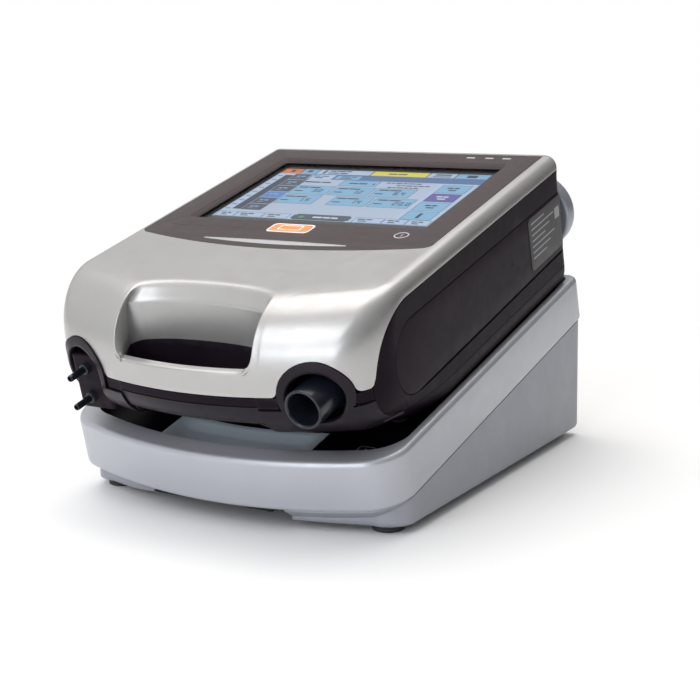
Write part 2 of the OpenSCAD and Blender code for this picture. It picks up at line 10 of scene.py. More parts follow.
import bmesh
import bpy
import numpy as np
from mathutils import Matrix, Vector
from mathutils.kdtree import KDTree

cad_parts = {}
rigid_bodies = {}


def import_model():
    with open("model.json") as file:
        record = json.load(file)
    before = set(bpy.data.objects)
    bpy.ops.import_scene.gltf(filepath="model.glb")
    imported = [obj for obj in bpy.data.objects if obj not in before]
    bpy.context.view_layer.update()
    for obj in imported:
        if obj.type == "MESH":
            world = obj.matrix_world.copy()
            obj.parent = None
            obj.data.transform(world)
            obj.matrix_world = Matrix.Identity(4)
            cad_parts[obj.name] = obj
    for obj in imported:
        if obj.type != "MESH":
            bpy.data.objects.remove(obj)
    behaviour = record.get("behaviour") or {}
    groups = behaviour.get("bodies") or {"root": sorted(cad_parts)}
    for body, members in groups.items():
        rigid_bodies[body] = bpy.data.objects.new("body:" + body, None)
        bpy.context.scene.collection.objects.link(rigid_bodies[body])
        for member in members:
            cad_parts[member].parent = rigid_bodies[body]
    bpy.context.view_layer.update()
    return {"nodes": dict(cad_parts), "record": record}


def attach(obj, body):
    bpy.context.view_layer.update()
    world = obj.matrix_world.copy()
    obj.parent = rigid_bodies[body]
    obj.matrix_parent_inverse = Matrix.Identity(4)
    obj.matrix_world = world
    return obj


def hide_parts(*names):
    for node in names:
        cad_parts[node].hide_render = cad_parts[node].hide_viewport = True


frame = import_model()
record = frame["record"]

MM = 0.001

# ------------------------------------------------------------------ the ventilator's own frame

PORT = (76.5, 14.0, 46.0)               # the patient port's mount in the ventilator's frame

port_mount = next(m for m in record["mounts"] if m["name"] == "patient_port")
port_axis = port_mount["axis"]
TILT = math.atan2(-port_axis[2], -port_axis[1])
SEAT = np.array([[1, 0, 0],
                 [0, math.cos(TILT), -math.sin(TILT)],
                 [0, math.sin(TILT), math.cos(TILT)]])
SEAT_AT = np.array(port_mount["pos_m"]) - SEAT @ (np.array(PORT) * MM)


def seated(points):
    """Points in the ventilator's frame, in mm, as points in the model's frame, in metres."""
    return np.asarray(points, float).reshape(-1, 3) * MM @ SEAT.T + SEAT_AT


# ------------------------------------------------------------------ main sizes, in mm

HALF_W = 107.5                          # side walls
TOP = 93.0                              # top face
REAR = 283.0                            # rear face
BOW_R = 243.0                           # bowed front, seen from above
BOW_Y = 246.7                           # centre of the bow
NOSE_R = 36.0                           # roll of the nose into the top face
CHIN_R = 30.0                           # roll of the chin under the nose
CHIN_Z = 47.0                           # top of that roll
UNDER_R = 177.0                         # where the underside's flat part starts
UNDER_SLOPE = math.radians(22)          # rise of the underside from there to the chin
LINE_Z = 84.0                           # silver shell's edge along the sides
NOSE_LINE_Z = 47.5                      # and across the nose
SPLIT_Z = 20.0                          # seam between the middle and lower cases
GAP = 0.35                              # seams between covers
PORT_X, _, PORT_Z = PORT
ARCH_R = 19.6                           # silver arch over each port
ARCH_FOOT = 3.5                         # rounding where the arch runs out into the edge
SURROUND_R = 19.2                       # rim of the dark surround under that arch
RECESS_R = 16.0                         # recess round each port
POCKET_X = 45.5                         # half-width of the handle pocket at the front
POCKET_FOOT = 5.5                       # how much it narrows in its rounded lower corners
POCKET_REAR_X = 47.0                    # half-width at the rear
POCKET_BACK = 39.0                      # rear wall of the pocket on the middle line
POCKET_SAG = 5.0                        # how far that wall comes forward at its ends
POCKET_Z = 61.5                         # sill of the handle pocket
BAND_Z = 85.0                           # foot of the sloping band above the rear wall
BAND = 8.3                              # and how far back it reaches
POCKET_R = 200.0                        # rear end of the opening under the pocket
LIP_R = 237.8                           # back of the handle's lip
GRIP_R = 227.0                          # back of the handle bar
GRIP_Z = 28.0                           # underside of the handle bar
BEZEL_X = 99.0                          # sides of the bezel
BEZEL_FRONT = 100.0                     # its front on the middle line
BEZEL_BACK = 273.8
BEZEL_BOW = 334.0                       # radius of its bowed front
GLASS_Z = 90.0                          # top of the touch glass
LCD_Y = 199.5                           # middle of the screen opening
LCD_W, LCD_H = 152.4, 91.4              # lit picture
PICTURE_Y = LCD_Y + 3                   # middle of the lit picture
BEZEL_UNDER = 90.7                      # underside of the bezel
PIPE_UNDER = 89.2                       # underside of the light bar and lamps
GLASS_UNDER = 88.72                     # underside of the touch glass
PICTURE_Z = 88.6                        # lit face of the display
LAMP_X = (52.5, 65.5, 77.5)             # three lamps in a row behind the screen
LAMP_Y = 267.5
KEY = (-1.0, 132.0)                     # centre of the alarm key
RING = (73.7, 131.0)                    # centre of the power ring
BAR_X = 49.0                            # half-width of the alarm light bar
RECESS_Y = 39.0                         # floor of the port's recess
ADAPTER_Y = 44.0                        # depth of the adapter's bay
SURROUND_LOW = -25.9                    # foot of both surrounds, below the port's axis
COVER = (81.0, 48.0)                    # axis of the rear filter cover
PANEL_X = 107.1                         # outer face of the side panels
GRIP_X = 45.1                           # half-width of the handle bar
GAUGE = (80.0, 50.0)                    # centre of the gauge button
TRAY_R = 289.0                          # bowed front of the base's tray
TRAY_BOW_Y = 296.5                      # centre of that bow
TRAY_X = 110.5                          # sides of the tray
TRAY_REAR = 290.0
TRAY_LOW, TRAY_HIGH = -22.5, 7.5        # its lower edge and its rim
RIM_R = 273.5                           # inner edge of the tray's rim at the front
RIM_X = 104.0                           # and at the sides
DISH_X = 50.0                           # half-width of the finger dish
DISH_BACK = 35.4                        # how far it runs back from the rim
DISH_EDGE = -1.45                       # height of its edge, just proud of the deck
DECK_Z = -1.5                           # dark floor of the tray
FLOOR_GAP = 4.5                         # underside of the base above the floor
NOTCH_X = 46.0                          # inner end of the wedge's front walls
VENT_X = 28.0                           # inner end of the ribbed vent beside the right one
SET_BACK = -104.0                       # undercut front of the wedge, in the model's frame
CORNER = 26.0                           # rounding where that front meets the left side
WEDGE_REAR = 146.0                      # rear wall of the wedge, in the model's frame


# ------------------------------------------------------------------ outer form of the ventilator

FARTHEST = 320.0                        # longer than any ray inside the body or the base
HALVINGS = 44                           # fine enough to land on the surface


def smooth(t):
    """0 to 1, easing in and out."""
    t = np.clip(t, 0.0, 1.0)
    return t * t * (3 - 2 * t)


def rounded_max(a, b, r):
    """Intersection of two distance fields with its edge rounded to radius r."""
    u, v = a + r, b + r
    return np.hypot(np.maximum(u, 0), np.maximum(v, 0)) + np.minimum(np.maximum(u, v), 0) - r


def profile_field(rho, z):
    """Distance to the front-to-back profile, at radius rho from the bow's upright axis."""
    nose_c, chin_c = BOW_R - NOSE_R, BOW_R - CHIN_R
    nose = np.where((rho > nose_c) & (z > TOP - NOSE_R),
                    np.hypot(rho - nose_c, z - TOP + NOSE_R) - NOSE_R,
                    np.maximum(rho - BOW_R, z - TOP))
    chin = np.where((rho > chin_c) & (z < CHIN_Z),
                    np.hypot(rho - chin_c, z - CHIN_Z) - CHIN_R, rho - BOW_R)
    slope = (rho - UNDER_R) * math.sin(UNDER_SLOPE) - z * math.cos(UNDER_SLOPE)
    return np.maximum(np.maximum(nose, chin), np.maximum(slope, -z))


def body_field(p):
    """Distance field of the whole ventilator body, negative inside."""
    x, y, z = p[..., 0], p[..., 1], p[..., 2]
    rho = np.where(y < BOW_Y, np.hypot(x, y - BOW_Y), np.abs(x))
    turn = np.arctan2(z - TOP + NOSE_R, rho - BOW_R + NOSE_R)
    high = 9 + 13 * (1 - smooth(turn / (math.pi / 2)))
    low = 20 + 2 * np.clip((z - 30) / 20, 0, 1)
    edge = np.where(z > TOP - NOSE_R, high, low)
    form = rounded_max(profile_field(rho, z), np.abs(x) - HALF_W, edge)
    rear_edge = 5 + 7 * smooth(z / 20) - 4 * smooth((z - 76) / 17)
    return rounded_max(form, y - REAR, rear_edge)


def cast(origin, direction, field=body_field):
    """Where rays from inside a field leave it, found by halving."""
    low = np.zeros(origin.shape[:-1])
    high = np.full(origin.shape[:-1], FARTHEST)
    for _ in range(HALVINGS):
        mid = (low + high) / 2
        outside = field(origin + direction * mid[..., None]) > 0
        high = np.where(outside, mid, high)
        low = np.where(outside, low, mid)
    return origin + direction * high[..., None]


def along(points, count):
    """Points spread evenly along a polyline."""
    points = np.asarray(points, float)
    steps = np.linalg.norm(np.diff(points, axis=0), axis=1)
    run = np.concatenate([[0], np.cumsum(steps)])
    wanted = np.linspace(0, 1, count) * run[-1]
    return np.stack([np.interp(wanted, run, points[:, k]) for k in range(points.shape[1])], -1)


def chain(stops, counts):
    """Values running evenly from stop to stop, with a number of points for each stretch."""
    parts = [np.linspace(a, b, n)[1:] for a, b, n in zip(stops, stops[1:], counts)]
    return np.concatenate([stops[:1]] + parts)


def arc(cx, cy, r, a0, a1, n):
    a = np.radians(np.linspace(a0, a1, n + 1))
    return np.stack([cx + r * np.cos(a), cy + r * np.sin(a)], -1)


def circle(cx, cy, r, n=48):
    return arc(cx, cy, r, 0, 360 - 360 / n, n - 1)


def bow(rho, x):
    """Y of the point at radius rho from the bow's axis and sideways distance x."""
    return BOW_Y - np.sqrt(rho ** 2 - x ** 2)


# ------------------------------------------------------------------ mesh building

class Shape:
    """Vertices and faces gathered piece by piece, in the ventilator's frame."""

    def __init__(self):
        self.points = []
        self.faces = []
        self.looks = []

    def add(self, points, faces, look=0):
        start = len(self.points)
        self.points.extend(np.asarray(points, float).reshape(-1, 3).tolist())
        self.faces.extend([tuple(start + i for i in f) for f in faces])
        self.looks.extend([look] * len(faces))
        return self

    def sheet(self, rows, closed=False, look=0):
        """Quads between rows of points; closed joins the last column to the first."""
        rows = np.asarray(rows, float)
        n, m = rows.shape[:2]
        faces = []
        for i in range(n - 1):
            for j in range(m if closed else m - 1):
                k = (j + 1) % m
                faces.append((i * m + j, i * m + k, (i + 1) * m + k, (i + 1) * m + j))
        return self.add(rows, faces, look)

    def mirrored(self, rows):
        """A sheet on the right side and its mirror image on the left."""
        self.sheet(rows)
        return self.sheet(rows * [-1, 1, 1])

    def cap(self, loop, look=0):
        return self.add(loop, [tuple(range(len(loop)))], look)


def added(name, data):
    obj = bpy.data.objects.new(name, data)
    bpy.context.scene.collection.objects.link(obj)
    return obj


def evaluated_mesh(obj):
    """A new mesh from an object with its modifiers or curve filling applied."""
    bpy.context.view_layer.update()
    return bpy.data.meshes.new_from_object(obj.evaluated_get(bpy.context.evaluated_depsgraph_get()))


def build(name, shape, looks, slot=None, body="ventilator", sharp=38, weld=0.01,
          in_model_frame=False, crease=None, solid=0.0, bevel=0.0, bevel_angle=40):
    """Turns a Shape into a piece on a body; with a slot, it stands in for the CAD node it names."""
    bm = bmesh.new()
    points = [bm.verts.new(p) for p in shape.points]
    for face, look in zip(shape.faces, shape.looks):
        try:
            bm.faces.new([points[i] for i in face]).material_index = look
        except ValueError:              # a face drawn twice is kept once
            pass
    bmesh.ops.remove_doubles(bm, verts=bm.verts, dist=weld)
    bmesh.ops.dissolve_degenerate(bm, edges=bm.edges, dist=weld / 2)
    bmesh.ops.recalc_face_normals(bm, faces=bm.faces)
    middle = Vector(np.mean(shape.points, axis=0))
    facing = sum((f.calc_center_median() - middle).dot(f.normal) * f.calc_area() for f in bm.faces)
    if facing < 0:
        bmesh.ops.reverse_faces(bm, faces=bm.faces)
    if crease:
        crease(bm)
    for face in bm.faces:
        face.smooth = True
    for edge in bm.edges:
        if len(edge.link_faces) == 2:
            edge.smooth = edge.calc_face_angle(0) < math.radians(sharp)
    mesh = bpy.data.meshes.new(name)
    bm.to_mesh(mesh)
    bm.free()
    co = np.zeros(len(mesh.vertices) * 3)
    mesh.vertices.foreach_get("co", co)
    co = co.reshape(-1, 3) * MM if in_model_frame else seated(co)
    mesh.vertices.foreach_set("co", co.ravel())
    mesh.update()
    for look in looks.split():
        mesh.materials.append(LOOKS[look])
    obj = added(name, mesh)
    if solid:
        wall = obj.modifiers.new("wall", "SOLIDIFY")
        wall.thickness = solid * MM
        wall.offset = -1
        wall.use_even_offset = False
    if bevel:
        soften(obj, bevel, bevel_angle)
    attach(obj, body)
    if slot:
        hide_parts(name)
    return obj


def soften(obj, width, angle=40):
    edge = obj.modifiers.new("edges", "BEVEL")
    edge.width = width * MM
    edge.segments = 2
    edge.limit_method = "ANGLE"
    edge.angle_limit = math.radians(angle)
    edge.harden_normals = False
    obj.modifiers.new("normals", "WEIGHTED_NORMAL").keep_sharp = True


# ------------------------------------------------------------------ silver top shell

def silver_edge(x, y):
    """Height of the silver shell's lower edge."""
    kick_y, kick = 33.0, 4.7            # a short steep rise behind the ports
    sweep, sweep_end = 33.0, 70.0       # then a round one up to the straight side line
    side = np.where(y < kick_y + kick, NOSE_LINE_Z + 11.8 * np.clip((y - kick_y) / kick, 0, 1) ** 2,
                    LINE_Z - sweep + np.sqrt(np.maximum(
                        sweep ** 2 - (sweep_end - np.minimum(y, sweep_end)) ** 2, 0)))
    off = np.abs(np.abs(x) - PORT_X)
    foot = math.sqrt((ARCH_R + ARCH_FOOT) ** 2 - ARCH_FOOT ** 2)
    touch = foot * ARCH_R / (ARCH_R + ARCH_FOOT)
    over = NOSE_LINE_Z + np.sqrt(np.maximum(ARCH_R ** 2 - off ** 2, 0))
    toe = NOSE_LINE_Z + ARCH_FOOT - np.sqrt(np.maximum(ARCH_FOOT ** 2 - (foot - off) ** 2, 0))
    arch = np.where(off < touch, over, np.where(off < foot, toe, NOSE_LINE_Z))
    return np.where(y < 60, np.maximum(side, arch), side)


def fan(z, count, field):
    """Plan outline of a field's right half at height z, from the middle of its front to its rear."""
    a = np.linspace(-math.pi / 2, math.pi / 2, count)
    start = np.tile([0.0, 150.0, z], (count, 1))
    return cast(start, np.stack([np.cos(a), np.sin(a), np.zeros(count)], -1), field)


OUTLINE = fan(52.0, 1600, body_field)
OUTLINE_RUN = np.concatenate([[0], np.cumsum(np.linalg.norm(np.diff(OUTLINE, axis=0), axis=1))])
FRONT_PART = int(np.argmax(OUTLINE[:, 0] > HALF_W - 0.01))
END = OUTLINE_RUN[-1]                   # length of the outline
PER_SIDE = 26                           # columns along each side of the pocket
PER_CORNER = 8                          # and round each of its rear corners
ACROSS = 60                             # columns across its front and rear


def run_at_x(x):
    """Distance along the front of the outline to sideways distance x."""
    return np.interp(x, OUTLINE[:FRONT_PART, 0], OUTLINE_RUN[:FRONT_PART])


def run_at_y(y):
    """Distance along the outline to the point at depth y on the side."""
    return np.interp(y, OUTLINE[:, 1], OUTLINE_RUN)


def bezel_front(x):
    """Y of the shell's edge along the front of the bezel."""
    return BEZEL_FRONT + BEZEL_BOW - GAP - np.sqrt(BEZEL_BOW ** 2 - x ** 2)


def top_profile(run):
    """(rho, z) at a distance run up the nose from the silver edge, in the middle part."""
    quarter = NOSE_R * math.pi / 2
    rise = TOP - NOSE_R - NOSE_LINE_Z
    turn = np.clip(run - rise, 0, quarter) / NOSE_R
    rho = BOW_R - NOSE_R + NOSE_R * np.cos(turn) - np.maximum(run - rise - quarter, 0)
    z = np.minimum(run, rise) + NOSE_LINE_Z + NOSE_R * np.sin(turn)
    low = CHIN_Z - z
    rho = np.where(low > 0, rho - CHIN_R + np.sqrt(CHIN_R ** 2 - np.maximum(low, 0) ** 2), rho)
    return rho, z


def top_run(points):
    """The inverse of top_profile for points on the nose or the top face."""
    rho = np.hypot(points[..., 0], points[..., 1] - BOW_Y)
    z = points[..., 2]
    quarter = NOSE_R * math.pi / 2
    rise = TOP - NOSE_R - NOSE_LINE_Z
    turn = np.arctan2(z - TOP + NOSE_R, np.maximum(rho - BOW_R + NOSE_R, 0))
    return np.where(z < TOP - NOSE_R, z - NOSE_LINE_Z,
                    np.where(rho > BOW_R - NOSE_R, rise + NOSE_R * turn,
                             rise + quarter + BOW_R - NOSE_R - rho))


def top_point(x, run):
    rho, z = top_profile(run)
    return np.stack([x, bow(rho, x), z], -1)


SIDE_KEYS = [                            # outline point, shoulder point, bezel-edge point
    (run_at_x(50), (60, 44), (72, None)),
    (run_at_x(76.5), (77, 50), (84, None)),
    (run_at_x(98), (96, 58), (96, None)),
    (run_at_y(46), (100.2, 70), (BEZEL_X + GAP, 118)),
    (run_at_y(75), (100.5, 90), (BEZEL_X + GAP, 134)),
    (run_at_y(268), (100.5, 268), (BEZEL_X + GAP, 268)),
    (END - 99, (99.5, 274.4), (BEZEL_X + GAP, BEZEL_BACK + GAP)),
    (END - 92, (92, 275.5), (92, BEZEL_BACK + GAP)),
    (END, (0, 275.5), (0, BEZEL_BACK + GAP)),
]


def shell_columns(runs, rows_up, rows_flat):
    """Columns of points over the shell, from the silver edge over the shoulder to the bezel."""
    keys = np.array([k[0] for k in SIDE_KEYS])
    mid = np.array([k[1] for k in SIDE_KEYS], float)
    end = np.array([(k[2][0], bezel_front(k[2][0]) if k[2][1] is None else k[2][1])
                    for k in SIDE_KEYS], float)
    columns = []
    for run in runs:
        p = np.array([np.interp(run, OUTLINE_RUN, OUTLINE[:, k]) for k in (0, 1)])
        m = np.array([np.interp(run, keys, mid[:, k]) for k in (0, 1)])
        t = np.array([np.interp(run, keys, end[:, k]) for k in (0, 1)])
        out = (p - m) / np.linalg.norm(p - m)
        start = m - out * 12
        top_angle = math.degrees(math.atan2(TOP - 0.3 - 57, 12))
        phi = np.radians(np.linspace(-42, top_angle, 420))
        ray = np.stack([out[0] * np.cos(phi), out[1] * np.cos(phi), np.sin(phi)], -1)
        line = cast(np.tile([*start, 57.0], (len(phi), 1)), ray)
        above = line[:, 2] > silver_edge(line[:, 0], line[:, 1])
        first = max(int(np.argmax(above)), 1)
        a, b = line[first - 1], line[first]
        ga = a[2] - silver_edge(a[0], a[1])
        gb = b[2] - silver_edge(b[0], b[1])
        edge = a + (b - a) * (-ga / (gb - ga) if gb > ga else 1)
        up = along(np.vstack([edge[None], line[first:]]), rows_up)
        flat_plan = np.linspace(up[-1, :2], t, rows_flat + 1)[1:]
        flat = cast(np.concatenate([flat_plan, np.full((rows_flat, 1), 50.0)], 1),
                    np.tile([0.0, 0, 1], (rows_flat, 1)))
        columns.append(np.vstack([up, flat]))
    return np.array(columns)


def pocket_front(z):
    """Half-width of the pocket's front opening at height z."""
    low = np.clip((POCKET_Z + 7 - z) / 7, 0, 1)
    return POCKET_X - POCKET_FOOT * (1 - np.sqrt(1 - low ** 2))


def pocket_back(rear, back):
    """Plan of the pocket's rounded rear corners and its rear wall, from right to left."""
    radius = 9.0
    end = back - POCKET_SAG
    corner = arc(rear - radius, end - radius, radius, 0, 78, PER_CORNER)
    xs = np.linspace(corner[-1][0], -corner[-1][0], ACROSS)[1:-1]
    line = back - POCKET_SAG * (xs / rear) ** 2
    drop = corner[-1][1] - back + POCKET_SAG * (corner[-1][0] / rear) ** 2
    line += drop * (np.abs(xs) / corner[-1][0]) ** 6
    return np.vstack([corner, np.stack([xs, line], -1), corner[::-1] * [-1, 1]])


def pocket_sill(rho, grow=0.0):
    """Plan of the pocket's wall at its sill, from the lip round the rear and back."""
    back = pocket_back(POCKET_REAR_X + grow, POCKET_BACK + grow)
    front = float(pocket_front(POCKET_Z)) + grow
    side = along([[front, bow(rho, front)], back[0]], PER_SIDE)[:-1]
    return np.vstack([side, back, side[::-1] * [-1, 1]])


def pocket_rim():
    """The pocket's rim on the nose and the top face, in the same order as its sill."""
    back = pocket_back(POCKET_X, POCKET_BACK + BAND)
    high = cast(at_height(back, 50.0), np.tile([0.0, 0, 1], (len(back), 1)))[:, 2:]
    rho_end = math.hypot(POCKET_X, BOW_Y - back[0][1])
    turn = np.linspace(math.asin((POCKET_Z - TOP + NOSE_R) / NOSE_R),
                       math.acos((rho_end - BOW_R + NOSE_R) / NOSE_R), PER_SIDE)[:-1]
    z = TOP - NOSE_R + NOSE_R * np.sin(turn)
    x = pocket_front(z)
    side = np.stack([x, bow(BOW_R - NOSE_R + NOSE_R * np.cos(turn), x), z], -1)
    return np.vstack([side, np.hstack([back, high]), side[::-1] * [-1, 1, 1]])


def rounded_crest(bm, loop):
    """Rolls the pocket's rim over by easing the points near it, but not the lip's rear edge."""
    reach, passes = 4.5, 14
    crest = KDTree(len(loop))
    for i, p in enumerate(loop):
        crest.insert(p, i)
    crest.balance()
    near = []
    for v in bm.verts:
        rho = math.hypot(v.co.x, v.co.y - BOW_Y)
        on_lip = (v.co.z < POCKET_Z + 0.1 and rho < LIP_R + 1
                  and abs(v.co.x) < pocket_front(POCKET_Z) - 2)
        distance = crest.find(v.co)[2]
        if distance < reach and not on_lip and not v.is_boundary:
            near.append((v, 0.6 * (1 - distance / reach) ** 0.7))
    for _ in range(passes):
        eased = []
        for v, share in near:
            around = sum((e.other_vert(v).co for e in v.link_edges), Vector())
            eased.append(v.co.lerp(around / len(v.link_edges), share))
        for (v, _), co in zip(near, eased):
            v.co = co


def pocket_walls(rim, sole):
    """Rows up the pocket's walls from its sill: upright at the rear, then sloping back."""
    column = np.arange(len(rim))
    at_rear = smooth((np.minimum(column, column[::-1]) - PER_SIDE + 7) / 12)
    rows = []
    for share in np.linspace(0, 1, 31):
        z = POCKET_Z + (rim[:, 2] - POCKET_Z) * share
        bend = np.clip((z - BAND_Z) / np.maximum(rim[:, 2] - BAND_Z, 0.1), 0, 1)
        lean = share * (1 - at_rear) + bend * at_rear
        rows.append(np.hstack([sole + (rim[:, :2] - sole) * lean[:, None], z[:, None]]))
    return rows


def lip_rows(sill, sole):
    """Rows from the front of the sill back over the handle's lip and down its rear edge."""
    sill_end = sill[-1][0]
    rear_corner = pocket_back(POCKET_REAR_X, POCKET_BACK)[0]
    rows = [sill]
    for rho, z in [(LIP_R + 2.6, POCKET_Z), (LIP_R, POCKET_Z), (LIP_R, POCKET_Z - 1.6)]:
        row = sill.copy()
        share = (bow(rho, sill_end) - sole[0][1]) / (rear_corner[1] - sole[0][1])
        row[:, 0] *= 1 + (rear_corner[0] / sill_end - 1) * share
        row[:, 1] = bow(rho, row[:, 0])
        row[:, 2] = z
        rows.append(row)
    return rows


def make_top_shell():
    """Silver skin from its edge over the nose and shoulders to the bezel, and round the pocket."""
    turn = PER_SIDE - 1 + PER_CORNER // 2
    rim = pocket_rim()
    sole = pocket_sill(BOW_R - NOSE_R + math.sqrt(NOSE_R ** 2 - (POCKET_Z - TOP + NOSE_R) ** 2))
    sill_end = float(pocket_front(POCKET_Z))
    sill = top_point(np.linspace(-sill_end, sill_end, ACROSS + 1),
                     np.full(ACROSS + 1, POCKET_Z - NOSE_LINE_Z))
    right = rim[:turn + 1]
    top = rim[turn:len(rim) - turn]
    left = rim[::-1][:turn + 1]
    inner = np.vstack([sill, right[1:], top[1:], left[::-1][1:-1]])

    rows_flat = 8
    foot = 22.83                        # where the arch runs out, to either side of the port
    arch_x = PORT_X - ARCH_R * np.cos(np.radians(np.linspace(9, 171, 44)))
    front = np.concatenate([[50, 51.8], np.linspace(PORT_X - foot, PORT_X - 19.4, 5), arch_x,
                            np.linspace(PORT_X + 19.4, PORT_X + foot, 5)])
    stops = [run_at_x(PORT_X + foot), run_at_y(50), run_at_y(90), END - 112, END - 86, END]
    runs = np.concatenate([run_at_x(front), chain(stops, (14, 28, 40, 24, 16))[1:]])
    half = shell_columns(runs, len(right) - rows_flat, rows_flat)

    side = half[0]
    edge_x = np.linspace(72, -72, len(top))
    far_edge = np.stack([edge_x, bezel_front(edge_x), np.full(len(edge_x), TOP)], -1)
    hem = top_point(np.linspace(-50, 50, ACROSS + 1), np.zeros(ACROSS + 1))
    outer = np.vstack([hem, side[1:], far_edge[1:], (side * [-1, 1, 1])[::-1][1:-1]])
    side[0] = hem[-1]
    inner_uv = np.stack([inner[:, 0], top_run(inner)], -1)
    outer_uv = np.stack([outer[:, 0], top_run(outer)], -1)
    rings = [inner]
    for w in [0.016, 0.034, 0.054, 0.078, 0.108, 0.15, *np.linspace(0.21, 1, 9)[:-1]]:
        uv = inner_uv * (1 - w) + outer_uv * w
        rings.append(top_point(uv[:, 0], uv[:, 1]))
    rings.append(outer)

    shape = Shape()
    shape.sheet(rings, closed=True)
    shape.mirrored(half)
    shape.sheet(pocket_walls(rim, sole))
    shape.sheet(lip_rows(sill, sole))
    build("top_shell", shape, "silver", "top_silver", sharp=50, weld=0.03,
          crease=lambda bm: rounded_crest(bm, inner), solid=1.8, bevel=0.5, bevel_angle=55)


# ------------------------------------------------------------------ plates, pads and turned parts

def rounded(points, radii, steps=6):
    """A closed outline with its corners rounded; radii holds one number per corner."""
    points = np.asarray(points, float)
    n = len(points)
    out = []
    for i in range(n):
        p, a, b = points[i], points[i - 1], points[(i + 1) % n]
        r = radii[i] if np.ndim(radii) else radii
        if r <= 0:
            out.append(p)
            continue
        ua, ub = (a - p) / np.linalg.norm(a - p), (b - p) / np.linalg.norm(b - p)
        half = math.acos(np.clip(ua @ ub, -1, 1)) / 2
        reach = r / math.tan(half)
        centre = p + (ua + ub) / np.linalg.norm(ua + ub) * (r / math.sin(half))
        start, end = p + ua * reach - centre, p + ub * reach - centre
        a0 = math.atan2(start[1], start[0])
        turn = (math.atan2(end[1], end[0]) - a0 + math.pi) % (2 * math.pi) - math.pi
        for k in range(steps + 1):
            a = a0 + turn * k / steps
            out.append(centre + [r * math.cos(a), r * math.sin(a)])
    return np.array(out)


def box_outline(cx, cy, w, h, r, steps=6):
    corners = [(cx - w / 2, cy - h / 2), (cx + w / 2, cy - h / 2),
               (cx + w / 2, cy + h / 2), (cx - w / 2, cy + h / 2)]
    return rounded(corners, r, steps)


def inset(loop, d):
    """A closed counter-clockwise loop drawn in by d."""
    before, after = np.roll(loop, 1, 0), np.roll(loop, -1, 0)
    t0, t1 = loop - before, after - loop
    t0 /= np.maximum(np.linalg.norm(t0, axis=1)[:, None], 1e-9)
    t1 /= np.maximum(np.linalg.norm(t1, axis=1)[:, None], 1e-9)
    n = np.stack([-(t0 + t1)[:, 1], (t0 + t1)[:, 0]], -1)
    n /= np.maximum(np.linalg.norm(n, axis=1)[:, None], 1e-9)
    bend = np.clip((t0 * t1).sum(1), -1, 1)
    return loop + n * (d / np.sqrt((1 + bend) / 2))[:, None]


def at_height(loop, z):
    """A plan loop lifted to height z."""
    return np.concatenate([loop, np.full((len(loop), 1), z)], 1)


def pad(loop, z0, z1, edge=0.5, shape=None, look=0, rings=4):
    """A slab with a rounded upper edge."""
    shape = shape or Shape()
    rows = [at_height(loop, z0), at_height(loop, z1 - edge)]
    for a in np.radians([22.5, 45, 67.5, 90]):
        rows.append(at_height(inset(loop, edge * (1 - math.cos(a))), z1 - edge + edge * math.sin(a)))
    top = inset(loop, edge)
    middle = top.mean(0)
    for k in range(1, rings):
        rows.append(at_height(middle + (top - middle) * (1 - k / rings), z1))
    shape.sheet(rows, closed=True, look=look)
    shape.cap(rows[-1], look)
    return shape.cap(rows[0][::-1], look)


def ring(outer, inner, z0, z1, edge=0.3, shape=None, look=0):
    """A flat ring between two loops with the same number of points."""
    shape = shape or Shape()
    rows = [at_height(outer, z0), at_height(outer, z1 - edge), at_height(inset(outer, edge), z1),
            at_height(inset(inner, -edge), z1), at_height(inner, z1 - edge), at_height(inner, z0),
            at_height(outer, z0)]
    return shape.sheet(rows, closed=True, look=look)


def plate(outline, holes, z0, z1, edge=0.25, shape=None):
    """A flat plate with holes and rounded edges, filled by a 2D curve."""
    shape = shape or Shape()
    data = bpy.data.curves.new("plate", "CURVE")
    data.dimensions = "2D"
    data.fill_mode = "BOTH"
    data.extrude = (z1 - z0) / 2 - edge
    data.bevel_depth = edge
    data.bevel_resolution = 2
    data.offset = -edge
    for loop in [outline] + list(holes):
        line = data.splines.new("POLY")
        line.points.add(len(loop) - 1)
        line.points.foreach_set("co", [c for p in loop for c in (p[0], p[1], 0.0, 1.0)])
        line.use_cyclic_u = True
    obj = added("plate", data)
    mesh = evaluated_mesh(obj)
    points = [(v.co.x, v.co.y, v.co.z + (z0 + z1) / 2) for v in mesh.vertices]
    shape.add(points, [tuple(p.vertices) for p in mesh.polygons])
    bpy.data.objects.remove(obj)
    bpy.data.curves.remove(data)
    bpy.data.meshes.remove(mesh)
    return shape


def turned(profile, place, shape=None, steps=64, look=0, closed=False):
    """A turned part: profile points are (radius, distance along), place maps local points."""
    shape = shape or Shape()
    a = np.linspace(0, 2 * math.pi, steps, endpoint=False)
    rows = [place(np.stack([r * np.cos(a), r * np.sin(a), np.full(steps, d)], -1))
            for r, d in profile]
    if closed:
        return shape.sheet(rows + rows[:1], closed=True, look=look)
    shape.sheet(rows, closed=True, look=look)
    shape.cap(rows[0][::-1], look)
    return shape.cap(rows[-1], look)


def upright(x, y):
    return lambda p: p + [x, y, 0]


def lengthwise(x, z):
    """Local distance runs to the rear along Y."""
    return lambda p: np.stack([p[:, 0] + x, p[:, 2], p[:, 1] + z], -1)


def soft_profile(r, d0, d1, edge):
    """Profile of a round peg with softened ends."""
    turn = np.radians([0, 30, 60, 90])
    near = [(r - edge + edge * math.sin(a), d0 + edge - edge * math.cos(a)) for a in turn]
    return near + [(r - edge + edge * math.cos(a), d1 - edge + edge * math.sin(a)) for a in turn]


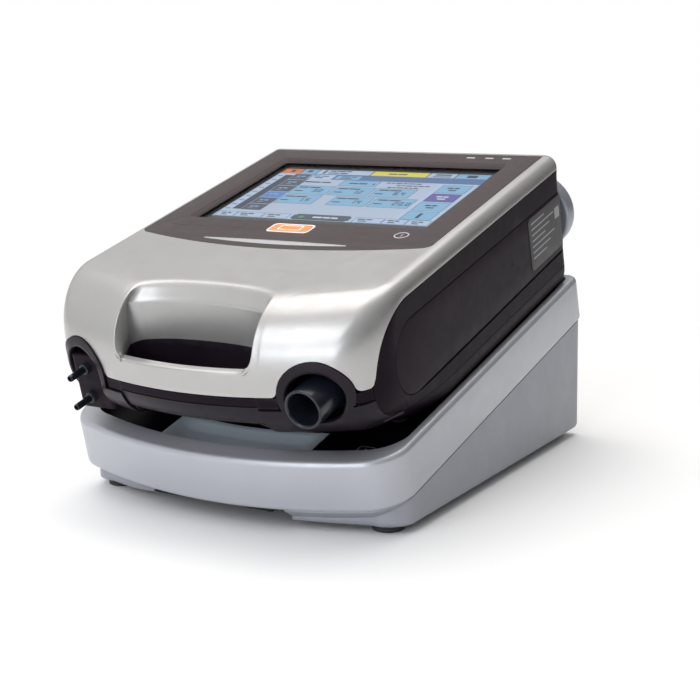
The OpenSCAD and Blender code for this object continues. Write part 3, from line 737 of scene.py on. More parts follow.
def carved(obj, *cutters):
    """Cuts closed shapes out of a piece, for good."""
    body = obj.parent.name[len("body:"):]
    tools = [build("cutter", cutter, "", body=body) for cutter in cutters]
    for tool in tools:
        cut = obj.modifiers.new("cut", "BOOLEAN")
        cut.object = tool
        cut.solver = "EXACT"
    mesh = evaluated_mesh(obj)
    obj.modifiers.clear()
    old = obj.data
    obj.data = mesh
    mesh.name = obj.name
    bpy.data.meshes.remove(old)
    mesh.set_sharp_from_angle(angle=math.radians(38))
    for tool in tools:
        data = tool.data
        bpy.data.objects.remove(tool)
        bpy.data.meshes.remove(data)


def block(x0, x1, y0, y1, z0, z1):
    """A plain box, used only as a cutter."""
    loop = np.array([(x0, y0), (x1, y0), (x1, y1), (x0, y1)], float)
    low, high = at_height(loop, z0), at_height(loop, z1)
    return Shape().sheet([low, high], closed=True).cap(low[::-1]).cap(high)


# ------------------------------------------------------------------ display panel

SCREEN_TOP = box_outline(0, LCD_Y, LCD_W + 12.6, LCD_H + 23.2, 3.4)
SCREEN_LOW = box_outline(0, LCD_Y, LCD_W + 8.1, LCD_H + 18.8, 2.2)
KEY_HOLE = box_outline(*KEY, 29.6, 13.6, 3.3)


def bar_outline(grow):
    """Crescent light bar in front of the alarm key."""
    x = np.linspace(-BAR_X - grow, BAR_X + grow, 50)
    front = BEZEL_FRONT + 6.5 + BEZEL_BOW - np.sqrt((BEZEL_BOW + grow) ** 2 - x ** 2)
    back = 112.2 + grow - 0.9 * (x / BAR_X) ** 2
    keep = back > front + 0.4
    x, front, back = x[keep], front[keep], back[keep]
    return np.vstack([np.stack([x, front], -1), np.stack([x, back], -1)[::-1]])


def bezel_outline(grow):
    """Bezel with a bowed front, grown outwards."""
    x = np.linspace(-BEZEL_X - grow, BEZEL_X + grow, 61)
    front = BEZEL_FRONT + BEZEL_BOW - np.sqrt((BEZEL_BOW + grow) ** 2 - x ** 2)
    back = BEZEL_BACK + grow
    loop = np.vstack([np.stack([x, front], -1), [(BEZEL_X + grow, back), (-BEZEL_X - grow, back)]])
    radii = np.zeros(len(loop))
    radii[0] = radii[60] = 2.0
    radii[61] = radii[62] = 3.0
    return rounded(loop, radii)


def make_bezel():
    holes = [SCREEN_TOP, KEY_HOLE, bar_outline(0.12), circle(*RING, 4.65)]
    holes += [box_outline(x, LAMP_Y, 6.2, 2.0, 0.8, 3) for x in LAMP_X]
    shape = plate(bezel_outline(0), holes, BEZEL_UNDER, TOP, 0.35)
    rows = [at_height(SCREEN_TOP, BEZEL_UNDER), at_height(SCREEN_TOP, TOP - 0.35),
            at_height(inset(SCREEN_TOP, 0.15), TOP - 0.4), at_height(SCREEN_LOW, GLASS_Z + 0.25),
            at_height(SCREEN_LOW, GLASS_Z + 0.08), at_height(SCREEN_TOP, GLASS_Z + 0.08),
            at_height(SCREEN_TOP, BEZEL_UNDER)]
    shape.sheet(rows, closed=True)
    build("display_bezel", shape, "bezel", "bezel_grey", sharp=32)
    name = pad(box_outline(-59.8, 132.55, 51.2, 9.4, 1.2), TOP - 0.1, TOP + 0.08, 0.06)
    build("name_plate", name, "bezel", "plate_grey")


def make_touch_glass():
    """Glass with a black printed border on its underside, open over the picture."""
    outer = box_outline(0, LCD_Y, LCD_W + 12.9, LCD_H + 24.9, 3)
    window = box_outline(0, PICTURE_Y, LCD_W + 0.6, LCD_H + 0.6, 0.6)
    edge = at_height(inset(outer, 0.2), GLASS_Z)
    shape = Shape()
    shape.sheet([at_height(outer, GLASS_UNDER), at_height(outer, GLASS_Z - 0.2), edge], closed=True)
    shape.cap(edge)
    shape.sheet([at_height(window, GLASS_UNDER), at_height(outer, GLASS_UNDER)], closed=True, look=1)
    shape.cap(at_height(window, GLASS_UNDER)[::-1])
    build("touch_glass", shape, "glass black_print", "screen_glass")


def make_alarm_key():
    key = pad(box_outline(*KEY, 26.6, 10.6, 2.6, 8), 87.4, TOP + 0.28, 0.7)
    ring(box_outline(*KEY, 15.6, 7.0, 0.7), box_outline(*KEY, 14.2, 5.6, 0.35),
         TOP + 0.2, TOP + 0.3, 0.02, key, 1)
    build("alarm_key", key, "orange key_mark", "key_orange", "alarm_key")
    around = ring(box_outline(*KEY, 29.2, 13.2, 3.1, 8), box_outline(*KEY, 26.9, 10.9, 2.7, 8),
                  BEZEL_UNDER, TOP + 0.08, 0.15)
    build("alarm_key_surround", around, "white", "key_white")


def make_lamps():
    build("alarm_light_bar", plate(bar_outline(0), [], PIPE_UNDER, TOP + 0.04), "light_pipe",
          "light_pipe")
    lamps = Shape()
    for x in LAMP_X:
        pad(box_outline(x, LAMP_Y, 6.0, 1.8, 0.7, 3), PIPE_UNDER, TOP + 0.04, 0.15, lamps)
    ring(circle(*RING, 4.5), circle(*RING, 3.75), 91.6, TOP + 0.05, 0.12, lamps)
    pad(circle(*RING, 3.73), 91.0, TOP - 0.25, 0.1, lamps, 1)
    pad(box_outline(RING[0], RING[1] + 0.2, 0.6, 3.4, 0.25, 3), TOP - 0.3, TOP - 0.18, 0.03, lamps)
    build("status_lights", lamps, "lamp bezel", "light_pipe")


# ------------------------------------------------------------------ dark cases

def front_point(x, z):
    """Points on the body's front at sideways distance x and height z."""
    x, z = np.broadcast_arrays(np.asarray(x, float), np.asarray(z, float))
    start = np.stack([x, np.full(x.shape, 110.0), z], -1)
    return cast(start, np.broadcast_to([0.0, -1.0, 0.0], start.shape))


CORE = (85.0, 110.0, 262.0)             # half-width and ends of the block the walls are cast from
BATTERY = (-56.5, 162.5)                # centre of the battery cover
PAD_Y = (157, 163, 169, 175)            # rows of the dock's contacts


def wall_columns(runs, heights):
    """Columns of points down the body's walls; heights is a list of heights per column."""
    columns = []
    for run, zs in zip(runs, heights):
        p = np.array([np.interp(run, OUTLINE_RUN, OUTLINE[:, k]) for k in (0, 1)])
        start = np.array([min(p[0], CORE[0]), np.clip(p[1], CORE[1], CORE[2])])
        out = (p - start) / np.linalg.norm(p - start)
        origin = np.concatenate([np.tile(start, (len(zs), 1)), np.asarray(zs)[:, None]], 1)
        columns.append(cast(origin, np.tile([*out, 0.0], (len(zs), 1))))
    return np.array(columns)


def underside(rho):
    """Height of the sloping underside and the chin at radius rho."""
    slope = (rho - UNDER_R) * math.tan(UNDER_SLOPE)
    reach = np.maximum(rho - BOW_R + CHIN_R, 0)
    chin = CHIN_Z - np.sqrt(np.maximum(CHIN_R ** 2 - reach ** 2, 0))
    return np.maximum(np.where(reach > 0, np.maximum(slope, chin), slope), 0)


def side_panel_outline(d):
    """(Y, Z) outline of a side panel, drawn in by d."""
    nose = arc(71.5, 49.6, 22 - d, 90, 270, 24)
    rear = rounded([(71.5, 27.6 + d), (276 - d, 30 + d), (276.7 - d, 70 - d), (71.5, 71.6 - d)],
                   [0, 4, 4, 0])
    return np.vstack([nose, rear[1:-1]])


def side_plate(loop, x_out, depth, sx, edge=0.35, shape=None, look=0):
    """A plate on a side wall from a (Y, Z) outline, facing outwards."""
    flat = pad(loop, 0, depth, edge, rings=2)
    p = np.array(flat.points)
    placed = np.stack([sx * (x_out - depth + p[:, 2]), p[:, 0], p[:, 1]], -1)
    shape = shape or Shape()
    return shape.add(placed, flat.faces, look)


def make_middle_case():
    """Dark walls between the silver edge and the seam, cut back for the panels and the rear."""
    stops = [run_at_x(101.8), run_at_y(60), run_at_y(266), END - 86, END]
    runs = chain(stops, (22, 30, 20, 10))
    heights = []
    for run in runs:
        x, y = (np.interp(run, OUTLINE_RUN, OUTLINE[:, k]) for k in (0, 1))
        high = float(silver_edge(x, y)) - GAP - 0.25
        heights.append(np.concatenate([[SPLIT_Z + 0.15, SPLIT_Z + 0.6],
                                       np.linspace(SPLIT_Z + 1.5, high - 0.6, 16), [high]]))
    shape = Shape()
    shape.mirrored(wall_columns(runs, heights))
    zs = np.linspace(40.35, NOSE_LINE_Z - GAP - 0.3, 6)
    reach = np.sqrt(19.5 ** 2 - (NOSE_LINE_Z - zs) ** 2)
    shape.mirrored(np.array([front_point(PORT_X + reach + (101.6 - PORT_X - reach) * t, zs)
                             for t in np.linspace(0, 1, 7)]))
    middle = build("middle_case", shape, "case", "case_black", solid=3.6, weld=0.02)
    cutters = [side_plate(side_panel_outline(0.0), 115, 115 - 105.2, sx, 0.01) for sx in (-1, 1)]
    carved(middle, *cutters, block(-97.3, 97.3, 272, 300, 11.7, 80.3))
    soften(middle, 0.45)


def make_side_panels():
    """Both panels, and the rating plate with plain bars in place of its wording."""
    for sx, name in ((1, "right_side_panel"), (-1, "left_side_panel")):
        panel = side_plate(side_panel_outline(0.45), PANEL_X, 1.7, sx, 0.8)
        build(name, panel, "panel", "panel_black")
    label = side_plate(box_outline(250.5, 51.2, 49, 33.5, 3), PANEL_X + 0.32, 0.3, 1, 0.1)
    marks = []
    for k in range(7):
        width = 20 + 14 * ((k * 5) % 3) / 2
        marks.append(box_outline(229.5 + width / 2, 64 - 3.7 * k, width, 0.9, 0.2, 2))
    marks.append(box_outline(269, 58, 7, 7, 0.4, 2))
    for mark in marks:
        side_plate(mark, PANEL_X + 0.36, 0.06, 1, 0.01, label, 1)
    build("rating_plate", label, "label label_mark", "plate_grey")


def make_lower_case():
    """Walls below the seam, the slope under the nose, and a flat bottom with its openings."""
    slot_half = 45.5
    stops = [run_at_x(slot_half), run_at_x(98), run_at_y(60), run_at_y(266), END - 86, END]
    runs = chain(stops, (24, 26, 26, 18, 10))
    levels = SPLIT_Z - 0.15 - 19.6 * (np.linspace(0, 1, 14) ** 1.25)
    band = wall_columns(runs, [levels] * len(runs))
    shape = Shape()
    shape.mirrored(band)
    rim = band[:, -1, :2]
    slot_x = np.linspace(-slot_half, slot_half, 25)
    slope = [np.stack([slot_x, bow(rho, slot_x), np.full(25, float(underside(rho)))], -1)
             for rho in np.linspace(UNDER_R + 0.62, POCKET_R - 2.3, 6)]
    shape.sheet(slope)
    outline = np.vstack([rim, (rim * [-1, 1])[::-1][1:], slope[0][1:-1, :2]])
    holes = [box_outline(*BATTERY, 79.6, 125.6, 3.2), circle(-60, 84, 5.1, 24)]
    holes += [box_outline(-3.25, y, 11.5, 7, 0.6, 2) for y in (90, 245)]
    holes += [box_outline(30, y, 8.6, 4.6, 0.4, 2) for y in PAD_Y]
    holes += [circle(x, y, 3.4, 24) for x, y in ((-14, 78), (30, 80), (-14, 264), (46, 264))]
    plate(outline, holes, 0.15, 2.6, 0.15, shape)
    build("lower_case", shape, "case", "case_black", sharp=40, weld=0.02)

    cover = pad(box_outline(*BATTERY, 79, 125, 3), 0, 2.4, 0.4, rings=2)
    cover.points = [(x, y, 2.6 - z) for x, y, z in cover.points]
    build("battery_cover", cover, "case", "case_black")


def zone_rim(downward):
    """Outer edge of a port's surround in (X, Z), from its lower left round the arch and back."""
    lift = NOSE_LINE_Z - PORT_Z
    step = math.degrees(math.asin((6 + lift) / SURROUND_R))
    arch = arc(0, lift, SURROUND_R, 180 + step, -step, 60)
    left = [(-31, SURROUND_LOW), (-31, -6.1)]
    right = [(25, -6.1), (25, SURROUND_LOW)]
    path = np.vstack([along(left, 12), along([left[1], arch[0]], 8)[1:], arch[1:],
                      along([arch[-1], right[0]], 6)[1:], along(right, 12)[1:]])
    if downward:
        return path
    return np.vstack([path, along([right[1], left[0]], 40)[1:-1]])


def across_front(sx, rim, hole):
    """Rows of a surround over the body's front, from its rim in to its hole."""
    rows = []
    for w in (1, 0.97, 0.8, 0.6, 0.4, 0.25, 0.12, 0.04, 0):
        xz = hole * (1 - w) + rim * w
        rows.append(front_point(sx * PORT_X + xz[:, 0], PORT_Z + xz[:, 1]))
    return rows


def set_back(sx, hole, share, depth):
    """A row like the hole's edge, drawn in to a share of its size, at a given depth."""
    depth = np.broadcast_to(depth, len(hole))
    return np.stack([sx * PORT_X + hole[:, 0] * share, depth, PORT_Z + hole[:, 1] * share], -1)


def make_port_surround():
    rim = zone_rim(False)
    step = math.degrees(math.asin(6 / RECESS_R))
    first, last = 19, 79                # ends of the arch along the rim
    angle = np.zeros(len(rim))
    angle[first:last + 1] = np.linspace(180 + step, -step, last - first + 1)
    rest = [(last + k) % len(rim) for k in range(1, len(rim) - (last - first))]
    angle[rest] = np.linspace(-step, -180 + step, len(rest) + 2)[1:-1]
    a = np.radians(angle)
    hole = np.stack([RECESS_R * np.cos(a), RECESS_R * np.sin(a)], -1)
    rows = across_front(1, rim, hole)
    mouth = rows[-1][:, 1]
    for push, draw in ((0.25, 0.1), (0.8, 0.3), (2.0, 0.3)):
        rows.append(set_back(1, hole, 1 - draw / RECESS_R, mouth + push))
    for r in (RECESS_R - 0.3, 9.7):
        rows.append(set_back(1, hole, r / RECESS_R, RECESS_Y))
    build("port_surround", Shape().sheet(rows, closed=True), "gloss_case", "case_black",
          solid=1.2, bevel=0.3, bevel_angle=50)


def make_adapter_surround():
    half = 13.0
    rim = zone_rim(True) * [-1, 1]
    cut = math.degrees(math.asin(math.sqrt(RECESS_R ** 2 - half ** 2) / RECESS_R))
    arch = arc(0, 0, RECESS_R, 180 + cut, -cut, 60)
    n_side = (len(rim) - len(arch)) // 2
    legs = along([(-half, SURROUND_LOW), arch[0]], n_side + 1)[:-1]
    more = along([arch[-1], (half, SURROUND_LOW)], len(rim) - len(arch) - n_side + 1)[1:]
    hole = np.vstack([legs, arch, more]) * [-1, 1]
    rows = across_front(-1, rim, hole)
    mouth = rows[-1][:, 1]
    for depth in (mouth + 0.6, mouth + 2, ADAPTER_Y):
        rows.append(set_back(-1, hole, 0.985, depth))
    build("adapter_surround", Shape().sheet(rows), "gloss_case", "case_black",
          solid=1.2, bevel=0.3, bevel_angle=50)


def swept(profile, x0, x1, n, shape=None, look=0):
    """A closed (rho, Z) outline swept sideways along the bow from x0 to x1."""
    shape = shape or Shape()
    profile = np.asarray(profile, float)
    rows = []
    for x in np.linspace(x0, x1, n):
        rows.append(np.stack([np.full(len(profile), x), bow(profile[:, 0], x), profile[:, 1]], -1))
    shape.sheet(rows, closed=True, look=look)
    shape.cap(rows[0][::-1], look)
    shape.cap(rows[-1], look)
    return shape


def chin_arc(z0, z1, n, d=0.0):
    """(rho, Z) points down the chin's roll between two heights."""
    zs = np.linspace(z0, z1, n)
    drop = np.maximum(CHIN_Z - zs, 0)
    return np.stack([BOW_R - CHIN_R + np.sqrt((CHIN_R - d) ** 2 - drop ** 2), zs], -1)


def make_handle_grip():
    """Bar under the silver edge, its two ears, and the sleeve that lines the slot behind it."""
    top = NOSE_LINE_Z - GAP - 0.25
    back = 239.4                        # rear face of the part above the bar
    band, groove = chin_arc(top, 42.2, 5), chin_arc(41.9, 41.5, 2, 0.6)
    front = np.vstack([band, groove, chin_arc(41.2, GRIP_Z + 2.4, 12)])
    under = [(236.2, GRIP_Z + 0.8), (234.6, GRIP_Z), (GRIP_R + 2.5, GRIP_Z),
             (GRIP_R + 0.7, GRIP_Z + 0.7), (GRIP_R, GRIP_Z + 2.5), (GRIP_R, 46.5),
             (GRIP_R + 1, 48.9), (LIP_R - 1.2, 57.4), (LIP_R, 59.2), (LIP_R, 59.9),
             (back, 59.9), (back, top)]
    shape = swept(np.vstack([front, under]), -GRIP_X, GRIP_X, 61)
    for i, face in enumerate(shape.faces):
        if np.mean([shape.points[k][2] for k in face]) > 41.4:
            shape.looks[i] = 1
    ear = np.vstack([chin_arc(top, 40.5, 6), [(back, 40.5), (back, top)]])
    for x0, x1 in ((-56.6, -GRIP_X), (GRIP_X, 56.6)):
        swept(ear, x0, x1, 9, shape, 1)

    def sleeve_row(plan, share):
        """The sleeve's wall part way down from its rim to the underside."""
        low = underside(np.hypot(plan[:, 0], plan[:, 1] - BOW_Y)) + 0.2
        return np.concatenate([plan, (61.35 + (low - 61.35) * share)[:, None]], 1)

    inner, outer = pocket_sill(LIP_R + 1), pocket_sill(LIP_R + 1, 1.8)
    wall = [sleeve_row(inner, share) for share in np.linspace(0, 1, 12)]
    shape.sheet([sleeve_row(outer, 1), sleeve_row(outer, 0)] + wall + [sleeve_row(outer, 1)])
    build("handle_grip", shape, "gloss_case case", "case_black", sharp=40)


def make_patient_port():
    tube = [(8.7, 38.0), (8.9, 5.4), (9.1, 4.6), (9.7, 4.0), (10.5, 4.0), (10.85, 4.3), (10.95, 5.0),
            (11.0, 12), (11.0, 35.0), (11.3, 35.6), (14.2, 35.8), (14.5, 36.2), (14.5, 38.9)]
    shape = turned(tube, lengthwise(PORT_X, PORT_Z), steps=96, closed=True)
    build("inspiratory_port", shape, "port", "port_black", sharp=45)


def make_adapter():
    shape = pad(box_outline(-PORT_X, 33.5, 24.6, 27, 2.5), 21, 54, 1.5, rings=2)
    spigot = [(1.1, 14.0), (1.1, 4.5), (1.35, 4.0), (1.75, 4.0), (1.95, 4.5), (2.0, 6.5),
              (2.0, 16.0), (2.35, 16.2), (3.1, 16.3), (3.4, 16.8), (3.4, 24)]
    for z in (46.5, 28.5):
        turned(spigot, lengthwise(-78, z), shape, 40, 1, closed=True)
    build("adapter_module", shape, "panel port", "panel_black", sharp=45)


# ------------------------------------------------------------------ sloping base

def base_field(p, r=TRAY_R, half=TRAY_X, rear=TRAY_REAR, corner=17.0, back=8.0):
    """Plan distance field of the base's outline."""
    rho = np.hypot(p[..., 0], p[..., 1] - TRAY_BOW_Y)
    front = np.where(p[..., 1] < BOW_Y, rho - r, -100.0)
    form = rounded_max(front, np.abs(p[..., 0]) - half, corner)
    return rounded_max(form, p[..., 1] - rear, back)


def tray_bow(rho, x):
    """Y of the point at radius rho from the axis of the tray's bow and sideways distance x."""
    return TRAY_BOW_Y - np.sqrt(rho ** 2 - x ** 2)


def seat_field(p):
    return base_field(p, RIM_R, RIM_X, 284.0, 15.0, 4.0)


def base_outline():
    """Points, outward directions and rim widths round the right half of the base."""
    count = 420
    line = along(fan(0.0, 2400, base_field)[:, :2], count)
    t = np.gradient(line, axis=0)
    t /= np.linalg.norm(t, axis=1)[:, None]
    out = np.stack([t[:, 1], -t[:, 0]], -1)
    out[0], out[-1] = (0, -1), (0, 1)
    start = np.concatenate([line - out * 20.5, np.zeros((count, 1))], 1)
    inner = cast(start, np.concatenate([out, np.zeros((count, 1))], 1), seat_field)[:, :2]
    return line, out, np.linalg.norm(line - inner, axis=1)


def tray_section(w):
    """(inset, Z) points round the wall of the tray, whose rim is w wide."""
    low = [(3.0, TRAY_LOW + 3), (3.0, TRAY_LOW + 0.3), (3.6, TRAY_LOW), (3.0, TRAY_LOW)]
    low += [(2.6 - 2.6 * math.sin(a), TRAY_LOW + 2.6 - 2.6 * math.cos(a))
            for a in np.radians([15, 30, 45, 60, 75, 90])]
    high = [(0.3, TRAY_HIGH - 3.4)]
    high += [(0.35 + 3.2 - 3.2 * math.cos(a), TRAY_HIGH - 3.2 + 3.2 * math.sin(a))
             for a in np.radians([12, 24, 36, 48, 60, 75, 90])]
    inner = [(w - 1.0, TRAY_HIGH)]
    inner += [(w - 1.0 + math.sin(a), TRAY_HIGH - 1.0 + math.cos(a))
              for a in np.radians([22, 45, 67, 90])]
    inner += [(w, 2), (w, DECK_Z - 0.4), (w - 1, DECK_Z - 3), (3.0, DECK_Z - 3)]
    return low + high + inner


def dish(x, back):
    """Height of the finger dish at a distance back from the rim's inner edge."""
    floor = np.interp(back, [0, 0.8, 2.7, 5.2, 9.2, 14, 20, 26, 30.3, 33.2, DISH_BACK],
                      [5.9, 5.0, 3.0, 0.6, -2.8, -5.0, -5.6, -4.8, -3.0, -1.7, DISH_EDGE])
    fade = smooth((DISH_X - 0.5 - np.abs(x)) / 12.0) ** 0.8
    return DISH_EDGE + (floor - DISH_EDGE) * fade


def border(grid):
    """The closed loop of points round a grid."""
    return np.vstack([grid[0], grid[1:, -1], grid[-1, ::-1][1:], grid[::-1, 0][1:-1]])


def make_tray(line, out, width):
    section = np.array([tray_section(w) for w in width])
    rows = np.concatenate([line[:, None] - out[:, None] * section[..., :1], section[..., 1:]], -1)
    rows[[0, -1], :, 0] = 0
    shape = Shape()
    shape.mirrored(np.concatenate([rows, rows[:, :1]], 1))
    side = np.linspace(-DISH_X, 13 - DISH_X, 18)
    xs = np.concatenate([side, np.linspace(14 - DISH_X, DISH_X - 14, 44), -side[::-1]])
    grid = np.array([np.stack([xs, tray_bow(RIM_R - 0.05 - d, xs), dish(xs, d)], -1)
                     for d in np.linspace(DISH_BACK, 0, 56)])
    hang = grid - [0, 0, 1.6]
    # The dish's faces take the dish look: the tray's silver painted lighter and bluer, a painted
    # highlight for the light that falls into the dish.
    shape.sheet(grid, look=1)
    shape.sheet(hang)
    shape.sheet([border(grid), border(hang)], closed=True)
    tray = build("base_tray", shape, "base dish", "base_silver", "base", sharp=50)
    carved(tray, block(-12, 12, 276, 300, -12, -4))


def make_deck(line, out, width):
    """Dark floor of the tray, notched for the dish, with holes for hooks, contacts and gauge."""
    seat = (line - out * (width + 0.25)[:, None])[::4]
    right = seat[seat[:, 0] > 0]
    cut = DISH_X + 0.2
    front_x = np.linspace(cut, right[right[:, 0] > cut][0][0], 3)[:-1]
    outer = np.vstack([np.stack([front_x, tray_bow(RIM_R - 0.25, front_x)], -1),
                       right[right[:, 0] > cut + 0.5],
                       right[(right[:, 0] <= cut + 0.5) & (right[:, 1] > 200)]])
    notch_x = np.linspace(-cut, cut, 25)
    loop = np.vstack([outer, (outer * [-1, 1])[::-1],
                      np.stack([notch_x, tray_bow(RIM_R - DISH_BACK - 0.2, notch_x)], -1)])
    holes = [box_outline(-3, y, 13, 8, 1, 3) for y in (90, 245)]
    holes += [circle(30, y, 1.1, 12) for y in PAD_Y]
    holes.append(box_outline(*GAUGE, 11.4, 11.4, 1.7))
    build("base_deck", plate(loop, holes, -5, DECK_Z, 0.3), "deck", "case_black", "base", sharp=35)


def make_gauge_button():
    low, high = DECK_Z + 0.25, DECK_Z + 0.35
    button = pad(box_outline(*GAUGE, 11, 11, 1.5), -6, DECK_Z + 0.3, 0.4)
    pad(box_outline(*GAUGE, 13, 13, 1.5), -7.2, -6, 0.2, button)
    ring(box_outline(*GAUGE, 9.6, 9.6, 1.2), box_outline(*GAUGE, 9.0, 9.0, 0.9), low, high, 0.02,
         button, 1)
    pad(box_outline(*GAUGE, 1.2, 4.4, 0.3, 2), low, high, 0.03, button, 1)
    build("gauge_button", button, "panel label_mark", "plate_grey", "gauge_button")


def make_base_feet():
    feet = Shape()
    for x in (-92, 92):
        for y in (-86, 130):
            turned(soft_profile(9, 0, FLOOR_GAP + 0.6, 0.9), upright(x, y), feet, 48)
    build("base_feet", feet, "rubber", "rubber_black", "base", in_model_frame=True)


def make_base():
    line, out, width = base_outline()
    make_tray(line, out, width)
    make_deck(line, out, width)
    make_gauge_button()
    make_wedge(line, out)
    make_base_feet()


def wedge_column(at, n):
    """Points down one line of the wedge's wall, from under the tray to just above the floor."""
    facing = max(0.0, -n[1]) ** 1.5
    path = []
    for t in (0.0, 0.15, 0.5, 0.85, 1.0):
        x, y = at - n * (1.2 + 8.6 * facing * t)
        path.append([x, y, TRAY_LOW - GAP - 8.0 * t * facing - 0.3 * t])
    path = seated(path) / MM
    foot = path[-1]
    r = min(4.0, max((foot[2] - FLOOR_GAP) * 0.8, 0.3))
    wall_y = min(foot[1], WEDGE_REAR) if n[1] > 0.5 else foot[1]
    down = [[foot[0], foot[1] + (wall_y - foot[1]) * t, foot[2] + (FLOOR_GAP + r - foot[2]) * t]
            for t in np.linspace(0, 1, 14)[1:]]
    heel = np.array(down[-1])
    turn = [[*(heel[:2] - n * r * (1 - math.cos(a))), FLOOR_GAP + r - r * math.sin(a)]
            for a in np.radians([15, 30, 45, 60, 75, 90])]
    tuck = [[*(np.array(turn[-1][:2]) - n * 3), FLOOR_GAP]]
    return np.vstack([path, down, turn, tuck])


def make_wedge(line, out):
    """Body of the wedge: open across the middle of its front and set back on its left."""
    picks = np.unique(np.concatenate([np.arange(0, len(line), 3), [len(line) - 1]]))
    columns = np.array([wedge_column(line[i], out[i]) for i in picks])
    columns[:, :, 1] = np.minimum(columns[:, :, 1], WEDGE_REAR)
    in_notch = (columns[:, 0, 0] < NOTCH_X) & (columns[:, 0, 1] < 0)
    right = columns[~in_notch]
    left = right * [-1, 1, 1]
    left[..., 1] = np.maximum(left[..., 1], SET_BACK)
    bend = np.clip(SET_BACK + CORNER - left[..., 1], 0, CORNER)
    widest = right[..., 0].max() - CORNER + np.sqrt(CORNER ** 2 - bend ** 2)
    left[..., 0] = -np.minimum(-left[..., 0], widest)
    build("base_wedge", Shape().sheet(right).sheet(left), "wedge", "wedge_silver", "base",
          in_model_frame=True, solid=2.4, sharp=50)
    make_bottom_plate(right[:, -1, :2], left[:, -1, :2])


def make_bottom_plate(right, left):
    """Dark floor of the wedge with a wall across its undercut front and a short ribbed vent."""
    vent_front = right[0][1] + 12
    front = [[VENT_X, SET_BACK], [VENT_X, vent_front], [right[0][0], vent_front]]
    shape = plate(np.vstack([front, right, left[::-1]]), [], FLOOR_GAP + 0.3, FLOOR_GAP + 2.3, 0.2)
    walls = [box_outline((VENT_X - NOTCH_X) / 2, SET_BACK + 2, VENT_X + NOTCH_X, 2.4, 0.6, 3),
             box_outline((VENT_X + NOTCH_X) / 2, vent_front + 2, NOTCH_X - VENT_X, 2.4, 0.6, 3)]
    walls += [box_outline(VENT_X + 3 + 6 * k, vent_front - 5, 2.4, 12, 0.6, 3) for k in range(3)]
    for loop in walls:
        pad(loop, FLOOR_GAP + 2, FLOOR_GAP + 7, 0.5, shape, rings=2)
    build("base_bottom_plate", shape, "rubber", "case_black", "base", in_model_frame=True)


# ------------------------------------------------------------------ rear filter cover

def make_filter_cover():
    """Round cover with a rolled edge and a grille of upright bars sunk in its face."""
    profile = [(20.4, 297.4), (20.4, 289.0), (23.6, 289.0), (25.2, 289.5), (25.6, 290.4)]
    profile += [(25.7 - 4.0 * (1 - math.cos(a)), 297.0 + 4.6 * math.sin(a))
                for a in np.radians(np.linspace(0, 90, 11))]
    profile += [(16.5, 301.6), (16.2, 300.6), (15.8, 299.2)]
    cover = turned(profile, lengthwise(*COVER), steps=144)
    for i in range(-3, 4):
        half = math.sqrt(15.0 ** 2 - (i * 4.4) ** 2)
        bar = box_outline(COVER[0] + i * 4.4, COVER[1], 1.8, 2 * half, 0.8, 4)
        flat = pad(bar, 0, 0.8, 0.3, rings=2)
        p = np.array(flat.points)
        cover.add(np.stack([p[:, 0], 299.1 + p[:, 2], p[:, 1]], -1), flat.faces)
    build("filter_cover", cover, "cover", "cover_silver", "filter_cover", sharp=50)


# ------------------------------------------------------------------ materials

class Nodes:
    """Shorthand for wiring the nodes of a material or a world."""

    def __init__(self, data, kind="Material"):
        data.use_nodes = True
        self.data = data
        self.tree = data.node_tree
        self.tree.nodes.clear()
        self.out = self.node("Output" + kind)
        self.coords = self.node("TexCoord").outputs
        self.place = self.coords["Object"]

    def wire(self, node, inputs):
        for key, value in inputs.items():
            if isinstance(value, bpy.types.NodeSocket):
                self.tree.links.new(value, node.inputs[key])
            else:
                node.inputs[key].default_value = value

    def node(self, kind, inputs=None, **settings):
        node = self.tree.nodes.new("ShaderNode" + kind)
        for key, value in settings.items():
            setattr(node, key, value)
        self.wire(node, inputs or {})
        return node

    def noise(self, size_mm, detail=3.0, rough=0.55, stretch=None):
        place = self.place
        if stretch:
            place = self.node("Mapping", {"Vector": place, "Scale": stretch}).outputs[0]
        return self.node("TexNoise", {"Vector": place, "Scale": 1 / (size_mm * MM), "Detail": detail,
                                      "Roughness": rough}).outputs["Fac"]

    def ramp(self, fac, low, high, from_low=0.0, from_high=1.0):
        return self.node("MapRange", {"Value": fac, "From Min": from_low, "From Max": from_high,
                                      "To Min": low, "To Max": high}).outputs[0]

    def mix(self, fac, a, b):
        node = self.node("Mix", data_type="RGBA")
        self.wire(node, {0: fac, 6: a, 7: b})
        return node.outputs[2]

    def bump(self, height, strength, deep_mm):
        return self.node("Bump", {"Strength": strength, "Distance": deep_mm * MM,
                                  "Height": height}).outputs[0]

    def done(self, shader):
        self.tree.links.new(shader.outputs[0], self.out.inputs["Surface"])
        return self.data


def material(name):
    return Nodes(bpy.data.materials.new(name))


def rgba(color, k=1.0):
    return (*[min(c * k, 1.0) for c in color[:3]], 1.0)


